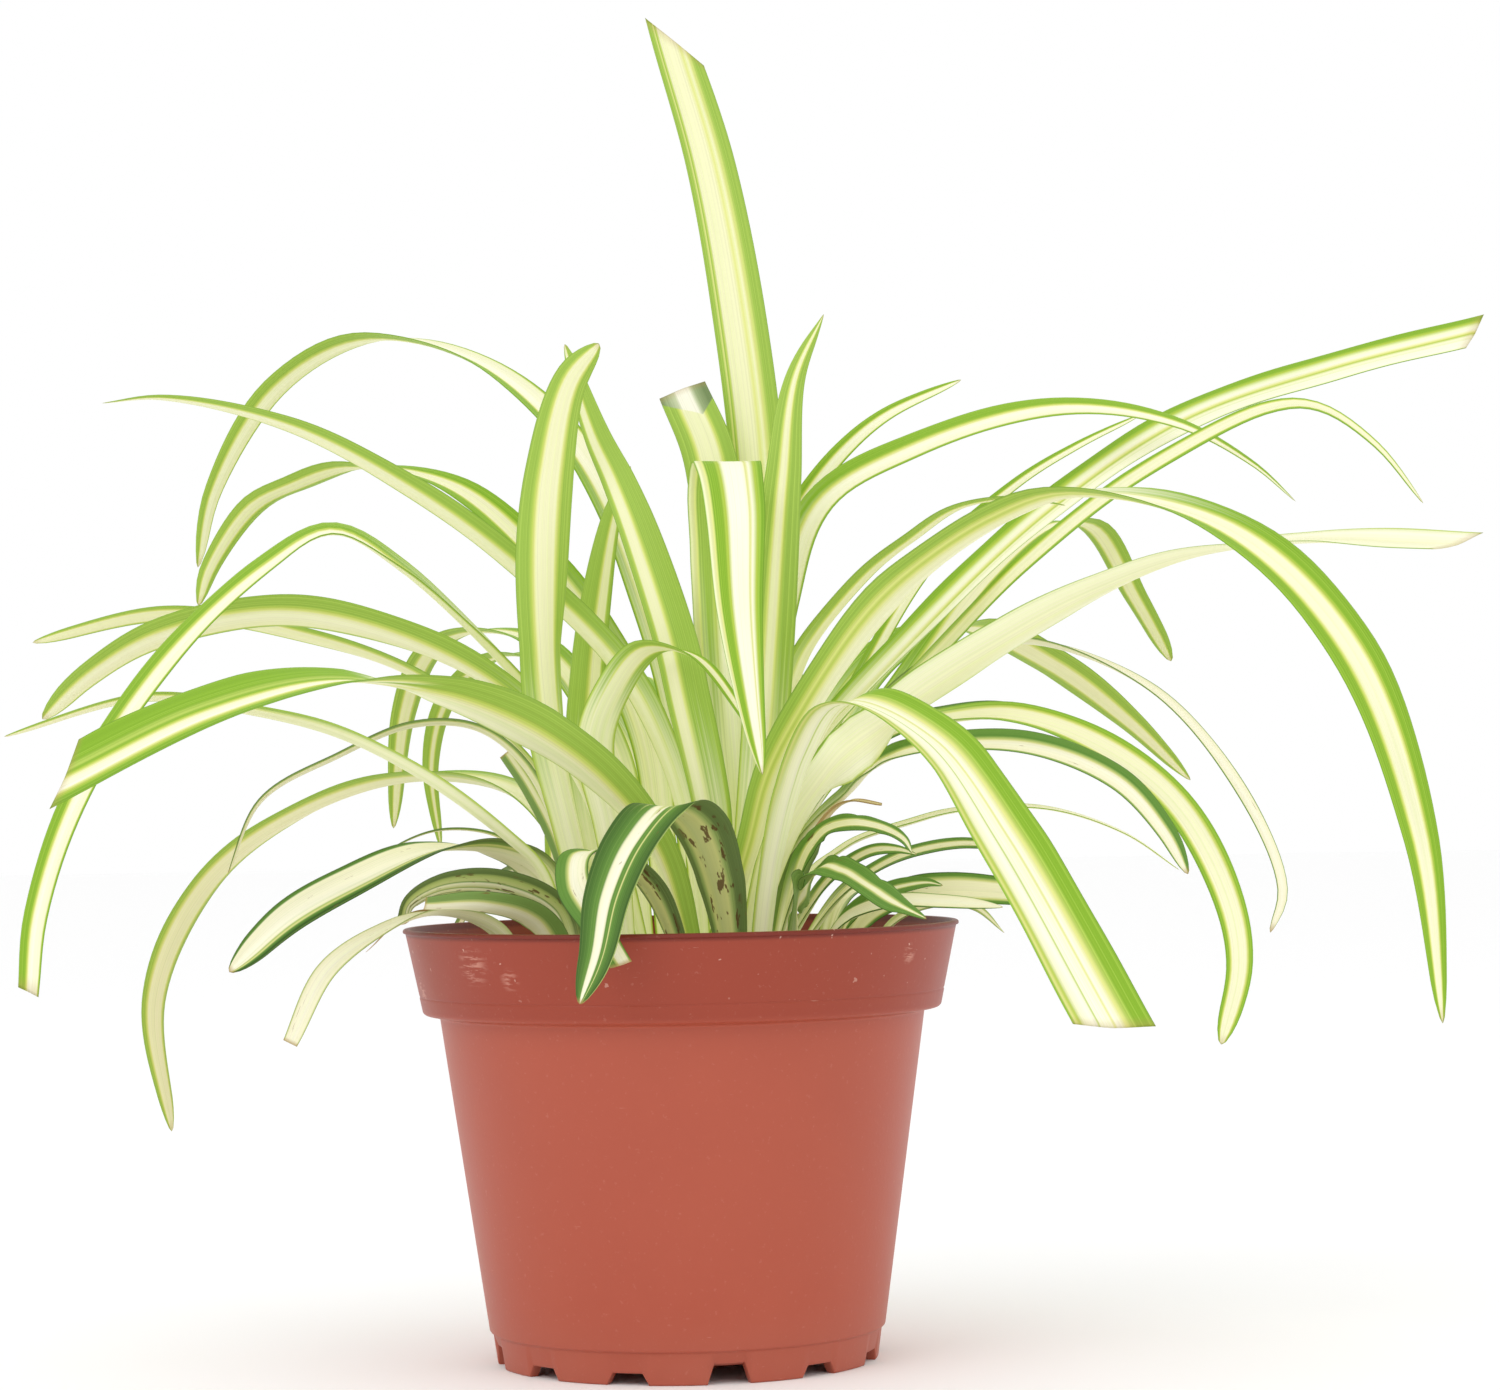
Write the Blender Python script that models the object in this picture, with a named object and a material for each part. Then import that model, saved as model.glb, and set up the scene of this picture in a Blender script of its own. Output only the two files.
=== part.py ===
# A potted spider plant, free-standing, about 13 cm across the rim.
# Metres, +Z up, the front towards -Y. The pot stands on its flat base at the origin.
# Pieces: pot, soil, crown and the leaves, each its own object.

import bmesh
import bpy
import numpy as np

MM = 0.001

# Pot, outer side: a turned plastic pot with a lip, a deep collar and a foot ring
RIM_RADIUS = 65.0 * MM
POT_HEIGHT = 101.5 * MM
LIP_HEIGHT = 1.1 * MM
LIP_REACH = 0.6 * MM
COLLAR_TOP_RADIUS = RIM_RADIUS - LIP_REACH
COLLAR_TOP = POT_HEIGHT - LIP_HEIGHT
COLLAR_FOOT_RADIUS = 60.6 * MM
COLLAR_FOOT = 82.0 * MM
COLLAR_LINE = 85.7 * MM
LINE_DEPTH = 0.2 * MM
BODY_TOP_RADIUS = 56.6 * MM
BODY_TOP = 80.4 * MM
BODY_FOOT_RADIUS = 46.2 * MM
BODY_FOOT = 7.8 * MM
FOOT_RADIUS = 44.4 * MM
FOOT_STEP = 0.8 * MM
WALL = 1.2 * MM

# Pot, base: a foot ring, a flat disc at the middle and a shallow channel between them
FLOOR_TOP = 5.6 * MM
CHANNEL_HEIGHT = 4.0 * MM
CHANNEL_OUTER = 42.0 * MM
CHANNEL_INNER = 17.5 * MM

# Notches in the foot ring, turned from the front towards the right
NOTCH_COUNT = 12
NOTCH_FIRST = 13
NOTCH_HALF_ANGLE = 6.5
NOTCH_TOP_HALF_ANGLE = 4.5
NOTCH_HEIGHT = 2.7 * MM
DEEP_NOTCH_EVERY = 3
DEEP_NOTCH_HEIGHT = 4.7 * MM
NOTCH_INNER = 41.0 * MM
NOTCH_OUTER = 48.0 * MM
DRAIN_RADIUS = 4.5 * MM
DRAIN_REACH = 30.0 * MM

TURN_STEPS = 72

# Soil and crown: the crown is a low dome that stands in a plain hole in the soil
SOIL_TOP = 92.5 * MM
CLEARANCE = 0.3 * MM
CROWN_LONG = 36.0 * MM
CROWN_SHORT = 24.0 * MM
CROWN_RISE = 5.0 * MM
CROWN_DEPTH = 12.0 * MM
CROWN_STEPS = 48
CROWN_RINGS = 5

# Leaves: a blade is a folded ribbon along a smooth path
BLADE_THICKNESS = 0.8 * MM
BLADE_SEGMENT = 11.0 * MM
SHORTEST_BLADE = 7
LONGEST_BLADE = 22
BLADE_COLUMNS = 3
BASE_WIDTH = 0.5
WIDENING_END = 0.4
TAPER_POWER = 3.6
BASE_FOLD = 40
TIP_FOLD = 12
FOLD_END = 0.7

# The place that the leaf points were read from, in front of the plant
EYE = np.array([17.0, -950.0, 134.0]) * MM

# Colours and finishes
COLOURS = {
    "pot": (0.51, 0.12, 0.07),
    "soil": (0.045, 0.028, 0.018),
    "crown": (0.42, 0.47, 0.20),
    "light": (0.42, 0.60, 0.13),
    "dark": (0.10, 0.24, 0.06),
    "pale": (0.60, 0.66, 0.36),
}
ROUGHNESS = {"pot": 0.45, "soil": 0.95, "crown": 0.6, "light": 0.42, "dark": 0.42, "pale": 0.5}

# Leaves by name: kind, width, share of the width left at the tip, slant of the cut end, heading, rolls at
# even steps from the base to the tip, root on the plan, then the points along it as seen from the eye:
# across, up on the plane of the pot's axis, and depth. Millimetres and degrees.
LEAVES = {
    "leaf_left_front_arch": ("light", 15.5, 0.9, 15, 215, (5, 10, 24, 36, 22, -12, -27, -33, -40), (3, -17), [
        (-5, 119, -19.5), (-18.5, 136, -27), (-37, 149, -39), (-58, 157.3, -53), (-82, 160.3, -66),
        (-112, 153.3, -80), (-144, 138.5, -94)]),
    "leaf_left_long": ("light", 10.5, 0.5, 2, 187, (22, -66), (-9, 5.5), [
        (-18, 130, 8.5), (-30, 150, 8), (-42, 165, 4), (-64, 186, -6), (-80, 195, -17), (-96, 187, -29),
        (-120, 165, -43), (-141, 134, -53), (-151, 106, -58), (-153, 88, -60)]),
    "leaf_left_tall_back": ("light", 13, 0.2, 0, 135, (-20, 15), (4, 7), [
        (3, 130, 11), (-7, 177, 20.5), (-22, 212, 31), (-45, 234, 41), (-72, 240, 50), (-93, 229, 57),
        (-108, 205, 62), (-112, 187, 64)]),
    "leaf_left_pointed": ("light", 10, 0.08, 0, 215, (15, 20), (5, -4), [
        (3, 118, -4), (-3, 142, -3), (-14, 163, -1), (-38, 187, 2), (-62, 205, 4), (-90, 220, 7),
        (-120, 227, 10), (-134, 226, 10)]),
    "leaf_left_middle_back": ("light", 13, 0.28, 0, 123, (-5, 6), (-4, 12), [
        (-8, 146, 19), (-20, 172, 24), (-34, 190, 27), (-52, 205, 31), (-75, 210, 34), (-89, 206, 36),
        (-99, 201, 38), (-109, 187, 41), (-112, 178, 42)]),
    "leaf_left_broad": ("light", 14, 0.35, 0, 205, (-24, 68), (-14, -2), [
        (-21, 131, -1.5), (-36, 153, -2.5), (-60, 168, -7), (-92, 176, -14), (-122, 171, -18),
        (-138, 162, -21), (-149, 152, -24)]),
    "leaf_left_slim": ("light", 9, 0.3, 0, 180, (-12, 48), (-18.5, 4), [
        (-32, 136, 5.5), (-60, 160, 4), (-90, 171, 1), (-120, 176, 0), (-151, 170, -2)]),
    "leaf_left_slim_low": ("light", 7.5, 0.3, 0, 200, (10, 25), (-25, -15), [
        (-33, 114.5, -18), (-40.5, 122.3, -21), (-60, 137, -26), (-80, 147.5, -30), (-100, 153, -34),
        (-125, 156.5, -37), (-158, 148, -39)]),
    "leaf_left_thin_dark": ("dark", 5, 0.3, 0, 190, (15, 25), (-24, 4), [
        (-27, 118, 3), (-36, 139, 1), (-47, 148, -1), (-62, 149, -4), (-80, 142, -8), (-98, 132, -11),
        (-106, 115, -13)]),
    "leaf_left_falling": ("light", 13.5, 0.25, 0, 140, (0, 0), (-20.5, 12.5), [
        (-25, 114, 15), (-37, 132, 22), (-60, 137, 31), (-87.5, 129.5, 40), (-111, 112.5, 48),
        (-123.5, 86, 52), (-120, 55, 51)]),
    "leaf_left_dark": ("dark", 12, 0.4, 0, 235, (46, -64), (-26, -7.5), [
        (-33, 113.5, -6.5), (-42, 119, -10), (-58, 120, -27), (-76, 113, -40), (-92, 104.5, -49),
        (-106, 92, -55)]),
    "leaf_left_over_rim": ("pale", 7, 0.5, 0, 215, (50, -55), (-35, -17), [
        (-44, 101, -22), (-58, 105, -31), (-70, 101, -36), (-83, 92, -38), (-92, 75, -40)]),
    "leaf_left_rim_spotted": ("dark", 12, 0.6, 0, 200, (25, 38), (-24, -21), [
        (-30, 105, -24.5), (-42, 111, -28), (-56, 111, -28), (-63.5, 107, -27), (-65, 102.5, -26)]),
    "leaf_left_rim_striped": ("dark", 10, 0.5, 0, 205, (30, 35), (-24, -31), [
        (-34, 103, -38), (-46, 107, -44), (-60, 107, -47)]),
    "leaf_left_far": ("light", 12, 0.25, 0, 125, (0, 0), (-9, 15), [
        (-16, 142, 24), (-32, 167, 38), (-47, 171, 52), (-58, 166, 64), (-64, 152, 74), (-67, 125, 80)]),
    "leaf_left_far_slim": ("light", 9, 0.2, 0, 115, (0, 0), (-2, 18), [
        (-6, 130, 34), (-24, 160, 58), (-42, 165, 74), (-54, 155, 84), (-58, 140, 90), (-56, 120, 94)]),
    "leaf_left_stub": ("dark", 6, 0.9, 0, 250, (0, 0), (-23, 9), [
        (-28, 120, 10), (-34.5, 134, 11), (-40, 142.5, 12)]),
    "leaf_tall": ("light", 14, 0.75, -15, 270, (0, 0), (16.5, 2.5), [
        (20, 150, 9), (20, 205, 12.5), (16, 245, 14), (10, 280, 16), (2, 309, 16)]),
    "leaf_centre_pointed": ("light", 12.5, 0.08, 0, 270, (0, 0), (13, -7.5), [
        (19.5, 138, -15.5), (22.3, 168, -18), (24, 188, -18), (25.8, 206, -14.5), (29, 229, -10),
        (36, 244, -9.5)]),
    "leaf_left_upright": ("light", 16, 0.35, 0, 275, (62, 58, 45, 8, 0), (-18, -7.5), [
        (-24, 119, -11.5), (-30, 150, -14.5), (-31, 180, -14), (-29, 208, -12.5), (-24, 229, -14),
        (-17, 238, -16)]),
    "leaf_centre_leaning": ("light", 11.5, 0.2, 0, 265, (0, 0), (9, -9), [
        (8.7, 118, -13.5), (7.3, 130.4, -17.5), (2.6, 154, -19.5), (-0.3, 168, -18), (-8, 193, -10),
        (-13, 206, -4), (-18, 217, 1.5), (-25, 238, 5)]),
    "leaf_centre_hidden": ("light", 10, 0.2, 0, 265, (0, 0), (-15, 12), [
        (-22, 140, 16), (-21, 160, 16), (-18.5, 179, 16.5), (-14.5, 198, 17), (-10, 209, 18)]),
    "leaf_centre_folded": ("light", 14, 0.85, 0, 270, (0, 0), (11, 1.5), [
        (12, 150, 4), (11, 190, 3.5), (8.3, 212, 5), (2.4, 226.9, 8.5)]),
    "leaf_centre_hanging": ("light", 18, 0.12, 0, 270, (0, 0), (13, -5.5), [
        (14, 119, -7), (14.2, 130, -9.5), (13.3, 148, -11), (12.3, 168, -11.5), (11.7, 188, -13),
        (11.3, 203, -18.5), (12.5, 209.5, -25), (14.3, 199, -36), (15, 175, -42), (17, 155, -46),
        (19.7, 136, -47)]),
    "leaf_centre_small_arch": ("light", 10, 0.2, 0, 300, (-15, -20), (-12, -11), [
        (-16, 125, -13), (-19.3, 143.7, -16), (-15.5, 155.4, -19), (-7, 165.8, -24), (4.2, 164, -29),
        (14.8, 150.8, -35), (19, 143, -37)]),
    "leaf_front_dark": ("dark", 15, 0.3, 0, 260, (0, 0), (12.5, -24.5), [
        (9, 112, -30), (4, 125, -38), (-3, 129, -47), (-11, 121, -58), (-17, 108, -69), (-20, 94, -77),
        (-24, 83, -81)]),
    "leaf_front_dark_behind": ("dark", 9, 0.6, 2, 240, (0, 0), (2, -31), [
        (-7, 110, -37), (-17, 118, -45), (-24, 118, -52), (-25, 111, -59), (-20, 102, -67),
        (-14, 92, -71)]),
    "leaf_right_broad": ("light", 13, 0.85, 9, 15, (8, 40), (11.5, 6), [
        (21.5, 122, 14), (29, 138.5, 7.5), (56, 168, 12), (88, 197, 20), (120, 217.5, 25), (155, 229, 31),
        (189, 237, 35)]),
    "leaf_right_under": ("light", 9, 0.2, 0, 5, (10, 40), (17.5, 8.5), [
        (24, 118, 9.5), (32, 134, 10.5), (58, 160, 17), (82, 184, 10), (108, 204, 7), (140, 220, 0.5),
        (152, 220, 3.5), (165, 211, 3), (176, 197, 1.5)]),
    "leaf_right_high_arch": ("light", 11.5, 0.12, 0, 15, (30, 40), (21.5, 18.5), [
        (22, 140, 22.5), (26, 176, 24.5), (34, 199, 26), (56, 212, 20), (90, 221, 15), (118, 217, 11),
        (136, 207, 10), (146, 198, 9.5)]),
    "leaf_right_high_slim": ("light", 7, 0.25, 0, 30, (40, 55), (15, 21), [
        (18, 150, 29), (25, 190, 32.5), (31, 201, 33.5), (40, 212, 34), (50, 220, 34), (68, 228, 34)]),
    "leaf_right_thin_back": ("light", 5, 0.3, 0, 25, (30, 40), (17, 23), [
        (24, 125, 24), (40, 153, 27), (60, 185, 33), (80, 203, 38.5), (95, 212, 41), (110, 219, 44)]),
    "leaf_right_big_arch": ("light", 17, 0.12, 0, 300, (24, 14, 0, 16, 30), (8, -14), [
        (17, 118.5, -21), (22, 135, -23.5), (29.5, 149, -24.5), (45, 171, -28.5), (58, 183.5, -33),
        (77, 195.5, -44.5), (96, 201, -57), (131, 191.5, -73.5), (158.5, 163, -90.5),
        (173.5, 119.5, -101), (178, 75, -107)]),
    "leaf_right_companion": ("light", 13, 0.2, 0, 330, (10, 0), (13.5, -2.5), [
        (16, 128, -2.5), (18.7, 140.7, -2.5), (25.8, 153.7, -3), (30.7, 165.3, -4.5), (44.8, 182.4, -9),
        (55.8, 190.9, -14), (66.4, 197.8, -17), (80, 200, -21), (92, 198, -24.5)]),
    "leaf_right_pale": ("light", 15, 0.85, 16, 310, (-10, 22), (16, -12.5), [
        (22.5, 116, -18), (28.5, 128, -20), (36.3, 137.4, -21), (45.7, 145, -13.5), (54.6, 152.6, -12),
        (75, 165.3, -4.5), (98, 177.5, 2.5), (122, 186, 6.5), (150, 189, 11), (184, 187.5, 16)]),
    "leaf_right_far_hanging": ("light", 13, 0.4, 0, 50, (0, 0), (18, 25.5), [
        (26, 120, 28.5), (37, 137, 38), (52.5, 154, 49), (73, 181, 59.5), (88, 193, 66.5),
        (98, 193, 71.5), (108, 176, 79), (116, 161, 84.5)]),
    "leaf_right_far_broad": ("light", 18, 0.15, 0, 60, (0, 0), (14.5, 30), [
        (22, 120, 39.5), (34, 144, 54), (50, 164, 67), (68, 170, 77), (88, 161, 82.5), (106, 147, 86),
        (120, 133, 90)]),
    "leaf_right_long_thin": ("dark", 8, 0.35, 0, 335, (-45, 30), (16.5, 12.5), [
        (25, 115, 16), (32, 130, 19), (46, 149, 23), (64, 163, 26), (84, 166, 28), (112, 154, 33),
        (132, 130, 38), (141, 107, 40), (138, 97, 40)]),
    "leaf_right_dark_arch": ("dark", 11, 0.35, 0, 345, (5, 50), (17.5, -4), [
        (25, 114, -4.5), (31, 124, -4.5), (38.7, 131, -6), (45.7, 137.7, -6.5), (55, 141.5, -10.5),
        (82, 142, -12), (103, 133.5, -17), (114, 121, -21), (119, 111, -23)]),
    "leaf_right_trimmed": ("dark", 9, 0.6, 0, 5, (20, 38), (21.5, 11), [
        (24.5, 115, 10.5), (31, 129, 12.5), (41, 140, 14), (52, 146.5, 13), (62, 149, 13.5),
        (76, 150, 16.5), (90, 146, 16.5), (102, 138, 17.5)]),
    "leaf_right_falling": ("light", 12, 0.4, 0, 335, (0, 50), (22.5, 3.5), [
        (25, 115, 1.5), (30, 128, 2), (36, 139, 0.5), (47, 145.5, 0), (60, 148, -0.5), (78, 149, -0.5),
        (98, 142, -4.5), (116, 128, -9.5), (127.5, 107, -13.5), (130.5, 90, -16), (126, 71, -18)]),
    "leaf_right_thread": ("light", 5, 0.3, 0, 20, (0, 20), (24, 12), [
        (30, 112, 16), (37, 117.6, 20), (42, 120.5, 22), (53.5, 124, 25), (65, 126.8, 27), (86, 127, 31),
        (104, 121, 34), (117, 112, 37)]),
    "leaf_right_front_broad": ("light", 17, 0.95, 7, 305, (25, 32, 30, 12, 6, 6, 15, 20, 25), (18.5, -24), [
        (23, 118.5, -27), (30.5, 141.5, -36), (40, 153, -48), (60, 144, -69), (77, 120, -90),
        (101, 75.5, -113)]),
    "leaf_right_small_dark": ("dark", 10, 0.25, 0, 345, (30, 34, 38, 30, 25, 26), (22, -9), [
        (27.3, 112, -13.5), (30.3, 118.5, -16), (34.3, 122.8, -17), (41, 124.3, -21.5),
        (47.6, 123, -20.5), (52.5, 120.3, -21.5), (54.5, 117, -20)]),
    "leaf_right_small_low": ("dark", 7, 0.5, 0, 350, (20, 35), (27, 3), [
        (38, 108, 3.5), (45, 113, 4), (51, 116, 5), (58, 118, 6), (66, 119, 7), (74, 118.5, 8)]),
    "leaf_right_small_inner": ("dark", 7, 0.3, 0, 350, (20, 40), (24, -2), [
        (33, 109, -2), (38.5, 114.2, -3), (45, 117.7, -3.5), (51, 117.9, -4), (55.5, 116.7, -4.5)]),
    "leaf_right_rim_pale": ("dark", 12, 0.5, 0, 350, (30, 50), (36, 5), [
        (44, 102.5, 3.5), (53.5, 107.4, 2), (62, 108.4, 1), (72, 107.9, 0), (83, 106.5, -1)]),
    "leaf_right_rim_dark": ("dark", 8, 0.3, 0, 355, (25, 40), (34, -4), [
        (40, 102.5, -5), (48.8, 108.3, -6), (53.5, 109.6, -6.5), (58.1, 110, -7), (61.5, 109.3, -7.5)]),
    "leaf_right_rim_low": ("dark", 7, 0.3, 0, 345, (20, 40), (31, -12), [
        (37.7, 101, -14), (41.7, 103.3, -15), (46.4, 104.8, -16), (52.3, 105.8, -17), (59.3, 105.6, -18),
        (67.5, 105, -19), (75.5, 104, -20)]),
    "leaf_right_dark_upright": ("dark", 11, 0.1, 0, 320, (0, 0, -8, -15), (21, -4.5), [
        (24.5, 107, -6), (27, 112.8, -6.5), (30, 118, -8), (32.5, 122, -8.5), (35, 125, -10.5)]),
    "leaf_right_dark_drooping": ("dark", 12, 0.3, 0, 300, (50, 60, 45, 10, 0, 0), (25.5, -17.5), [
        (27, 105, -22.5), (30, 111, -18.5), (34, 114.3, -25.5), (39, 112.8, -27.5), (45, 108.8, -31),
        (51, 105, -30.5), (57.5, 101.6, -31)]),
    "leaf_back_centre_left": ("light", 11, 0.12, 0, 100, (0, 0), (4, 31), [
        (2, 130, 43), (-2, 156, 66), (-8, 158, 92), (-14, 140, 116), (-17, 112, 128)]),
    "leaf_back_centre_right": ("light", 12, 0.12, 0, 88, (0, 0), (12, 25), [
        (11, 132, 33), (13, 163, 54), (15, 168, 84), (17, 150, 108), (18, 118, 124)]),
    "leaf_back_right": ("light", 11, 0.12, 0, 70, (0, 0), (15, 34), [
        (17, 128, 50), (22, 150, 70), (26, 159, 90), (28.5, 153, 106), (29, 139, 116)]),
    "leaf_back_left": ("light", 10, 0.12, 0, 110, (0, 0), (-10, 23), [
        (-13, 128, 33), (-20, 147, 54), (-26, 144, 78), (-29, 124, 96), (-30, 98, 104)]),
    "leaf_back_left_low": ("dark", 8, 0.2, 0, 140, (0, 0), (-19, 18), [
        (-25, 108, 26), (-34, 116, 40), (-46, 110, 56), (-55, 98, 66)]),
    "leaf_back_right_low": ("dark", 8, 0.2, 0, 45, (0, 0), (33, 24), [
        (37, 105, 31), (43, 109, 41), (51, 106, 52), (56, 99, 58)]),
}


def material(name, colour, roughness):
    """A plain Principled material of the node's own."""
    made = bpy.data.materials.new(name)
    made.use_nodes = True
    shader = made.node_tree.nodes["Principled BSDF"]
    shader.inputs["Base Color"].default_value = (*colour, 1)
    shader.inputs["Roughness"].default_value = roughness
    shader.inputs["Metallic"].default_value = 0
    return made


def new_object(name, kind, vertices, faces):
    """An object of its own from vertices and faces, shaded smooth."""
    mesh = bpy.data.meshes.new(name)
    mesh.from_pydata([tuple(v) for v in vertices], [], faces)
    mesh.materials.append(material(name, COLOURS[kind], ROUGHNESS[kind]))
    mesh.polygons.foreach_set("use_smooth", [True] * len(mesh.polygons))
    made = bpy.data.objects.new(name, mesh)
    bpy.context.scene.collection.objects.link(made)
    return made


def turned(name, kind, profile, steps=TURN_STEPS, stretch=(1, 1)):
    """A closed solid turned about Z from a profile of (radius, height) that starts and ends on the axis."""
    rings = np.array(profile[1:-1])
    angle = np.arange(steps) * 2 * np.pi / steps
    x = rings[:, 0, None] * np.cos(angle) * stretch[0]
    y = rings[:, 0, None] * np.sin(angle) * stretch[1]
    z = np.repeat(rings[:, 1, None], steps, axis=1)
    vertices = np.stack([x, y, z], axis=2).reshape(-1, 3).tolist()
    first = len(vertices)
    vertices += [(0, 0, profile[0][1]), (0, 0, profile[-1][1])]
    faces = []
    for step in range(steps):
        after = (step + 1) % steps
        faces.append((first, step, after))
        for ring in range(len(rings) - 1):
            here = ring * steps
            below = here + steps
            faces.append((here + step, below + step, below + after, here + after))
        last = (len(rings) - 1) * steps
        faces.append((first + 1, last + after, last + step))
    return new_object(name, kind, vertices, faces)


def cut(target, cutter):
    """Takes the cutter out of the target and removes the cutter."""
    modifier = target.modifiers.new("cut", "BOOLEAN")
    modifier.operation = "DIFFERENCE"
    modifier.solver = "EXACT"
    modifier.object = cutter
    bpy.context.view_layer.update()
    graph = bpy.context.evaluated_depsgraph_get()
    mesh = bpy.data.meshes.new_from_object(target.evaluated_get(graph))
    target.modifiers.remove(modifier)
    target.data = mesh
    bpy.data.objects.remove(cutter)


def collar_radius(height):
    """The collar's outer radius at a height."""
    share = (COLLAR_TOP - height) / (COLLAR_TOP - COLLAR_FOOT)
    return COLLAR_TOP_RADIUS + (COLLAR_FOOT_RADIUS - COLLAR_TOP_RADIUS) * share


def body_radius(height):
    """The body's outer radius at a height."""
    share = (BODY_TOP - height) / (BODY_TOP - BODY_FOOT)
    return BODY_TOP_RADIUS + (BODY_FOOT_RADIUS - BODY_TOP_RADIUS) * share


def inside_profile(clear):
    """The inner side of the pot from the floor to the collar's foot, drawn in by a clearance."""
    low = FLOOR_TOP + 2 * MM
    ledge = BODY_TOP + 1.5 * MM
    return [
        (body_radius(low) - WALL - 1.6 * MM - clear, FLOOR_TOP + clear),
        (body_radius(low) - WALL - clear, low + clear),
        (BODY_TOP_RADIUS - WALL - clear, ledge - 0.6 * MM + clear),
        (BODY_TOP_RADIUS - WALL + 0.5 * MM - clear, ledge + clear),
        (collar_radius(COLLAR_FOOT) - WALL - 0.6 * MM - clear, COLLAR_FOOT + 0.6 * MM + clear),
        (collar_radius(COLLAR_FOOT + MM) - WALL - clear, COLLAR_FOOT + 1.4 * MM + clear),
    ]


def outside_profile():
    """The outer side of the pot from the rim to the foot."""
    line = collar_radius(COLLAR_LINE)
    half_line = 0.3 * MM
    return [
        (RIM_RADIUS - 0.4 * MM, POT_HEIGHT),
        (RIM_RADIUS, POT_HEIGHT - 0.35 * MM),
        (RIM_RADIUS, COLLAR_TOP + 0.15 * MM),
        (COLLAR_TOP_RADIUS, COLLAR_TOP),
        (line, COLLAR_LINE + half_line),
        (line - LINE_DEPTH, COLLAR_LINE),
        (line - 0.05 * MM, COLLAR_LINE - half_line),
        (COLLAR_FOOT_RADIUS, COLLAR_FOOT),
        (COLLAR_FOOT_RADIUS - 0.5 * MM, COLLAR_FOOT - 0.5 * MM),
        (BODY_TOP_RADIUS + 0.3 * MM, BODY_TOP + 0.5 * MM),
        (BODY_TOP_RADIUS, BODY_TOP),
        (BODY_FOOT_RADIUS, BODY_FOOT),
        (BODY_FOOT_RADIUS - FOOT_STEP, BODY_FOOT - 0.5 * MM),
        (FOOT_RADIUS, 0.3 * MM),
        (FOOT_RADIUS - 0.3 * MM, 0),
    ]


def pot_profile():
    """The whole section of the pot, from the floor's middle over the rim to the base's middle."""
    inside_top = collar_radius(COLLAR_TOP) - WALL
    section = [(0, FLOOR_TOP)]
    section += inside_profile(0)
    section.append((inside_top, COLLAR_TOP))
    section.append((inside_top + 0.3 * MM, POT_HEIGHT))
    section += outside_profile()
    section.append((CHANNEL_OUTER, 0))
    section.append((CHANNEL_OUTER - 0.3 * MM, CHANNEL_HEIGHT))
    section.append((CHANNEL_INNER + 0.3 * MM, CHANNEL_HEIGHT))
    section.append((CHANNEL_INNER, 0))
    section.append((0, 0))
    return section[::-1]


def add_notch(shape, angle, height):
    """A wedge below the foot ring, wide at its foot, straight up and narrower at its top."""
    corners = []
    for level, half in ((-MM, NOTCH_HALF_ANGLE), (height, NOTCH_TOP_HALF_ANGLE)):
        for reach, side in ((NOTCH_INNER, -1), (NOTCH_OUTER, -1), (NOTCH_OUTER, 1), (NOTCH_INNER, 1)):
            turn = np.radians(angle + side * half)
            corners.append(shape.verts.new((reach * np.sin(turn), -reach * np.cos(turn), level)))
    bmesh.ops.convex_hull(shape, input=corners)


def add_drain(shape, angle):
    """A round drain through the channel."""
    turn = np.radians(angle)
    place = (DRAIN_REACH * np.sin(turn), -DRAIN_REACH * np.cos(turn), CHANNEL_HEIGHT)
    made = bmesh.ops.create_cone(
        shape, cap_ends=True, segments=24, radius1=DRAIN_RADIUS, radius2=DRAIN_RADIUS, depth=6 * MM)
    bmesh.ops.translate(shape, vec=place, verts=made["verts"])


def foot_cutter():
    """All the notches and drains as one cutter."""
    shape = bmesh.new()
    for number in range(NOTCH_COUNT):
        angle = NOTCH_FIRST + number * 360 / NOTCH_COUNT
        deep = number % DEEP_NOTCH_EVERY == 0
        add_notch(shape, angle, DEEP_NOTCH_HEIGHT if deep else NOTCH_HEIGHT)
        if deep:
            add_drain(shape, angle)
    bmesh.ops.recalc_face_normals(shape, faces=shape.faces)
    mesh = bpy.data.meshes.new("foot_cutter")
    shape.to_mesh(mesh)
    shape.free()
    cutter = bpy.data.objects.new("foot_cutter", mesh)
    bpy.context.scene.collection.objects.link(cutter)
    return cutter


def make_pot():
    """The pot: turned, then notched and drained."""
    pot = turned("pot", "pot", pot_profile())
    cut(pot, foot_cutter())
    return pot


def crown_profile(clear):
    """The crown's section as shares of its half axes: (share, height) from the top's middle to the foot."""
    section = [(0, SOIL_TOP + CROWN_RISE)]
    for ring in range(1, CROWN_RINGS + 1):
        turn = ring / CROWN_RINGS * np.pi / 2
        section.append((np.sin(turn), SOIL_TOP + CROWN_RISE * np.cos(turn)))
    section.append((1, SOIL_TOP - CROWN_DEPTH + clear))
    section.append((0, SOIL_TOP - CROWN_DEPTH + clear))
    return section


def make_crown():
    """The crown: a low oval dome with a straight foot in the soil."""
    profile = crown_profile(CLEARANCE)
    return turned("crown", "crown", profile, CROWN_STEPS, (CROWN_LONG, CROWN_SHORT))


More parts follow.
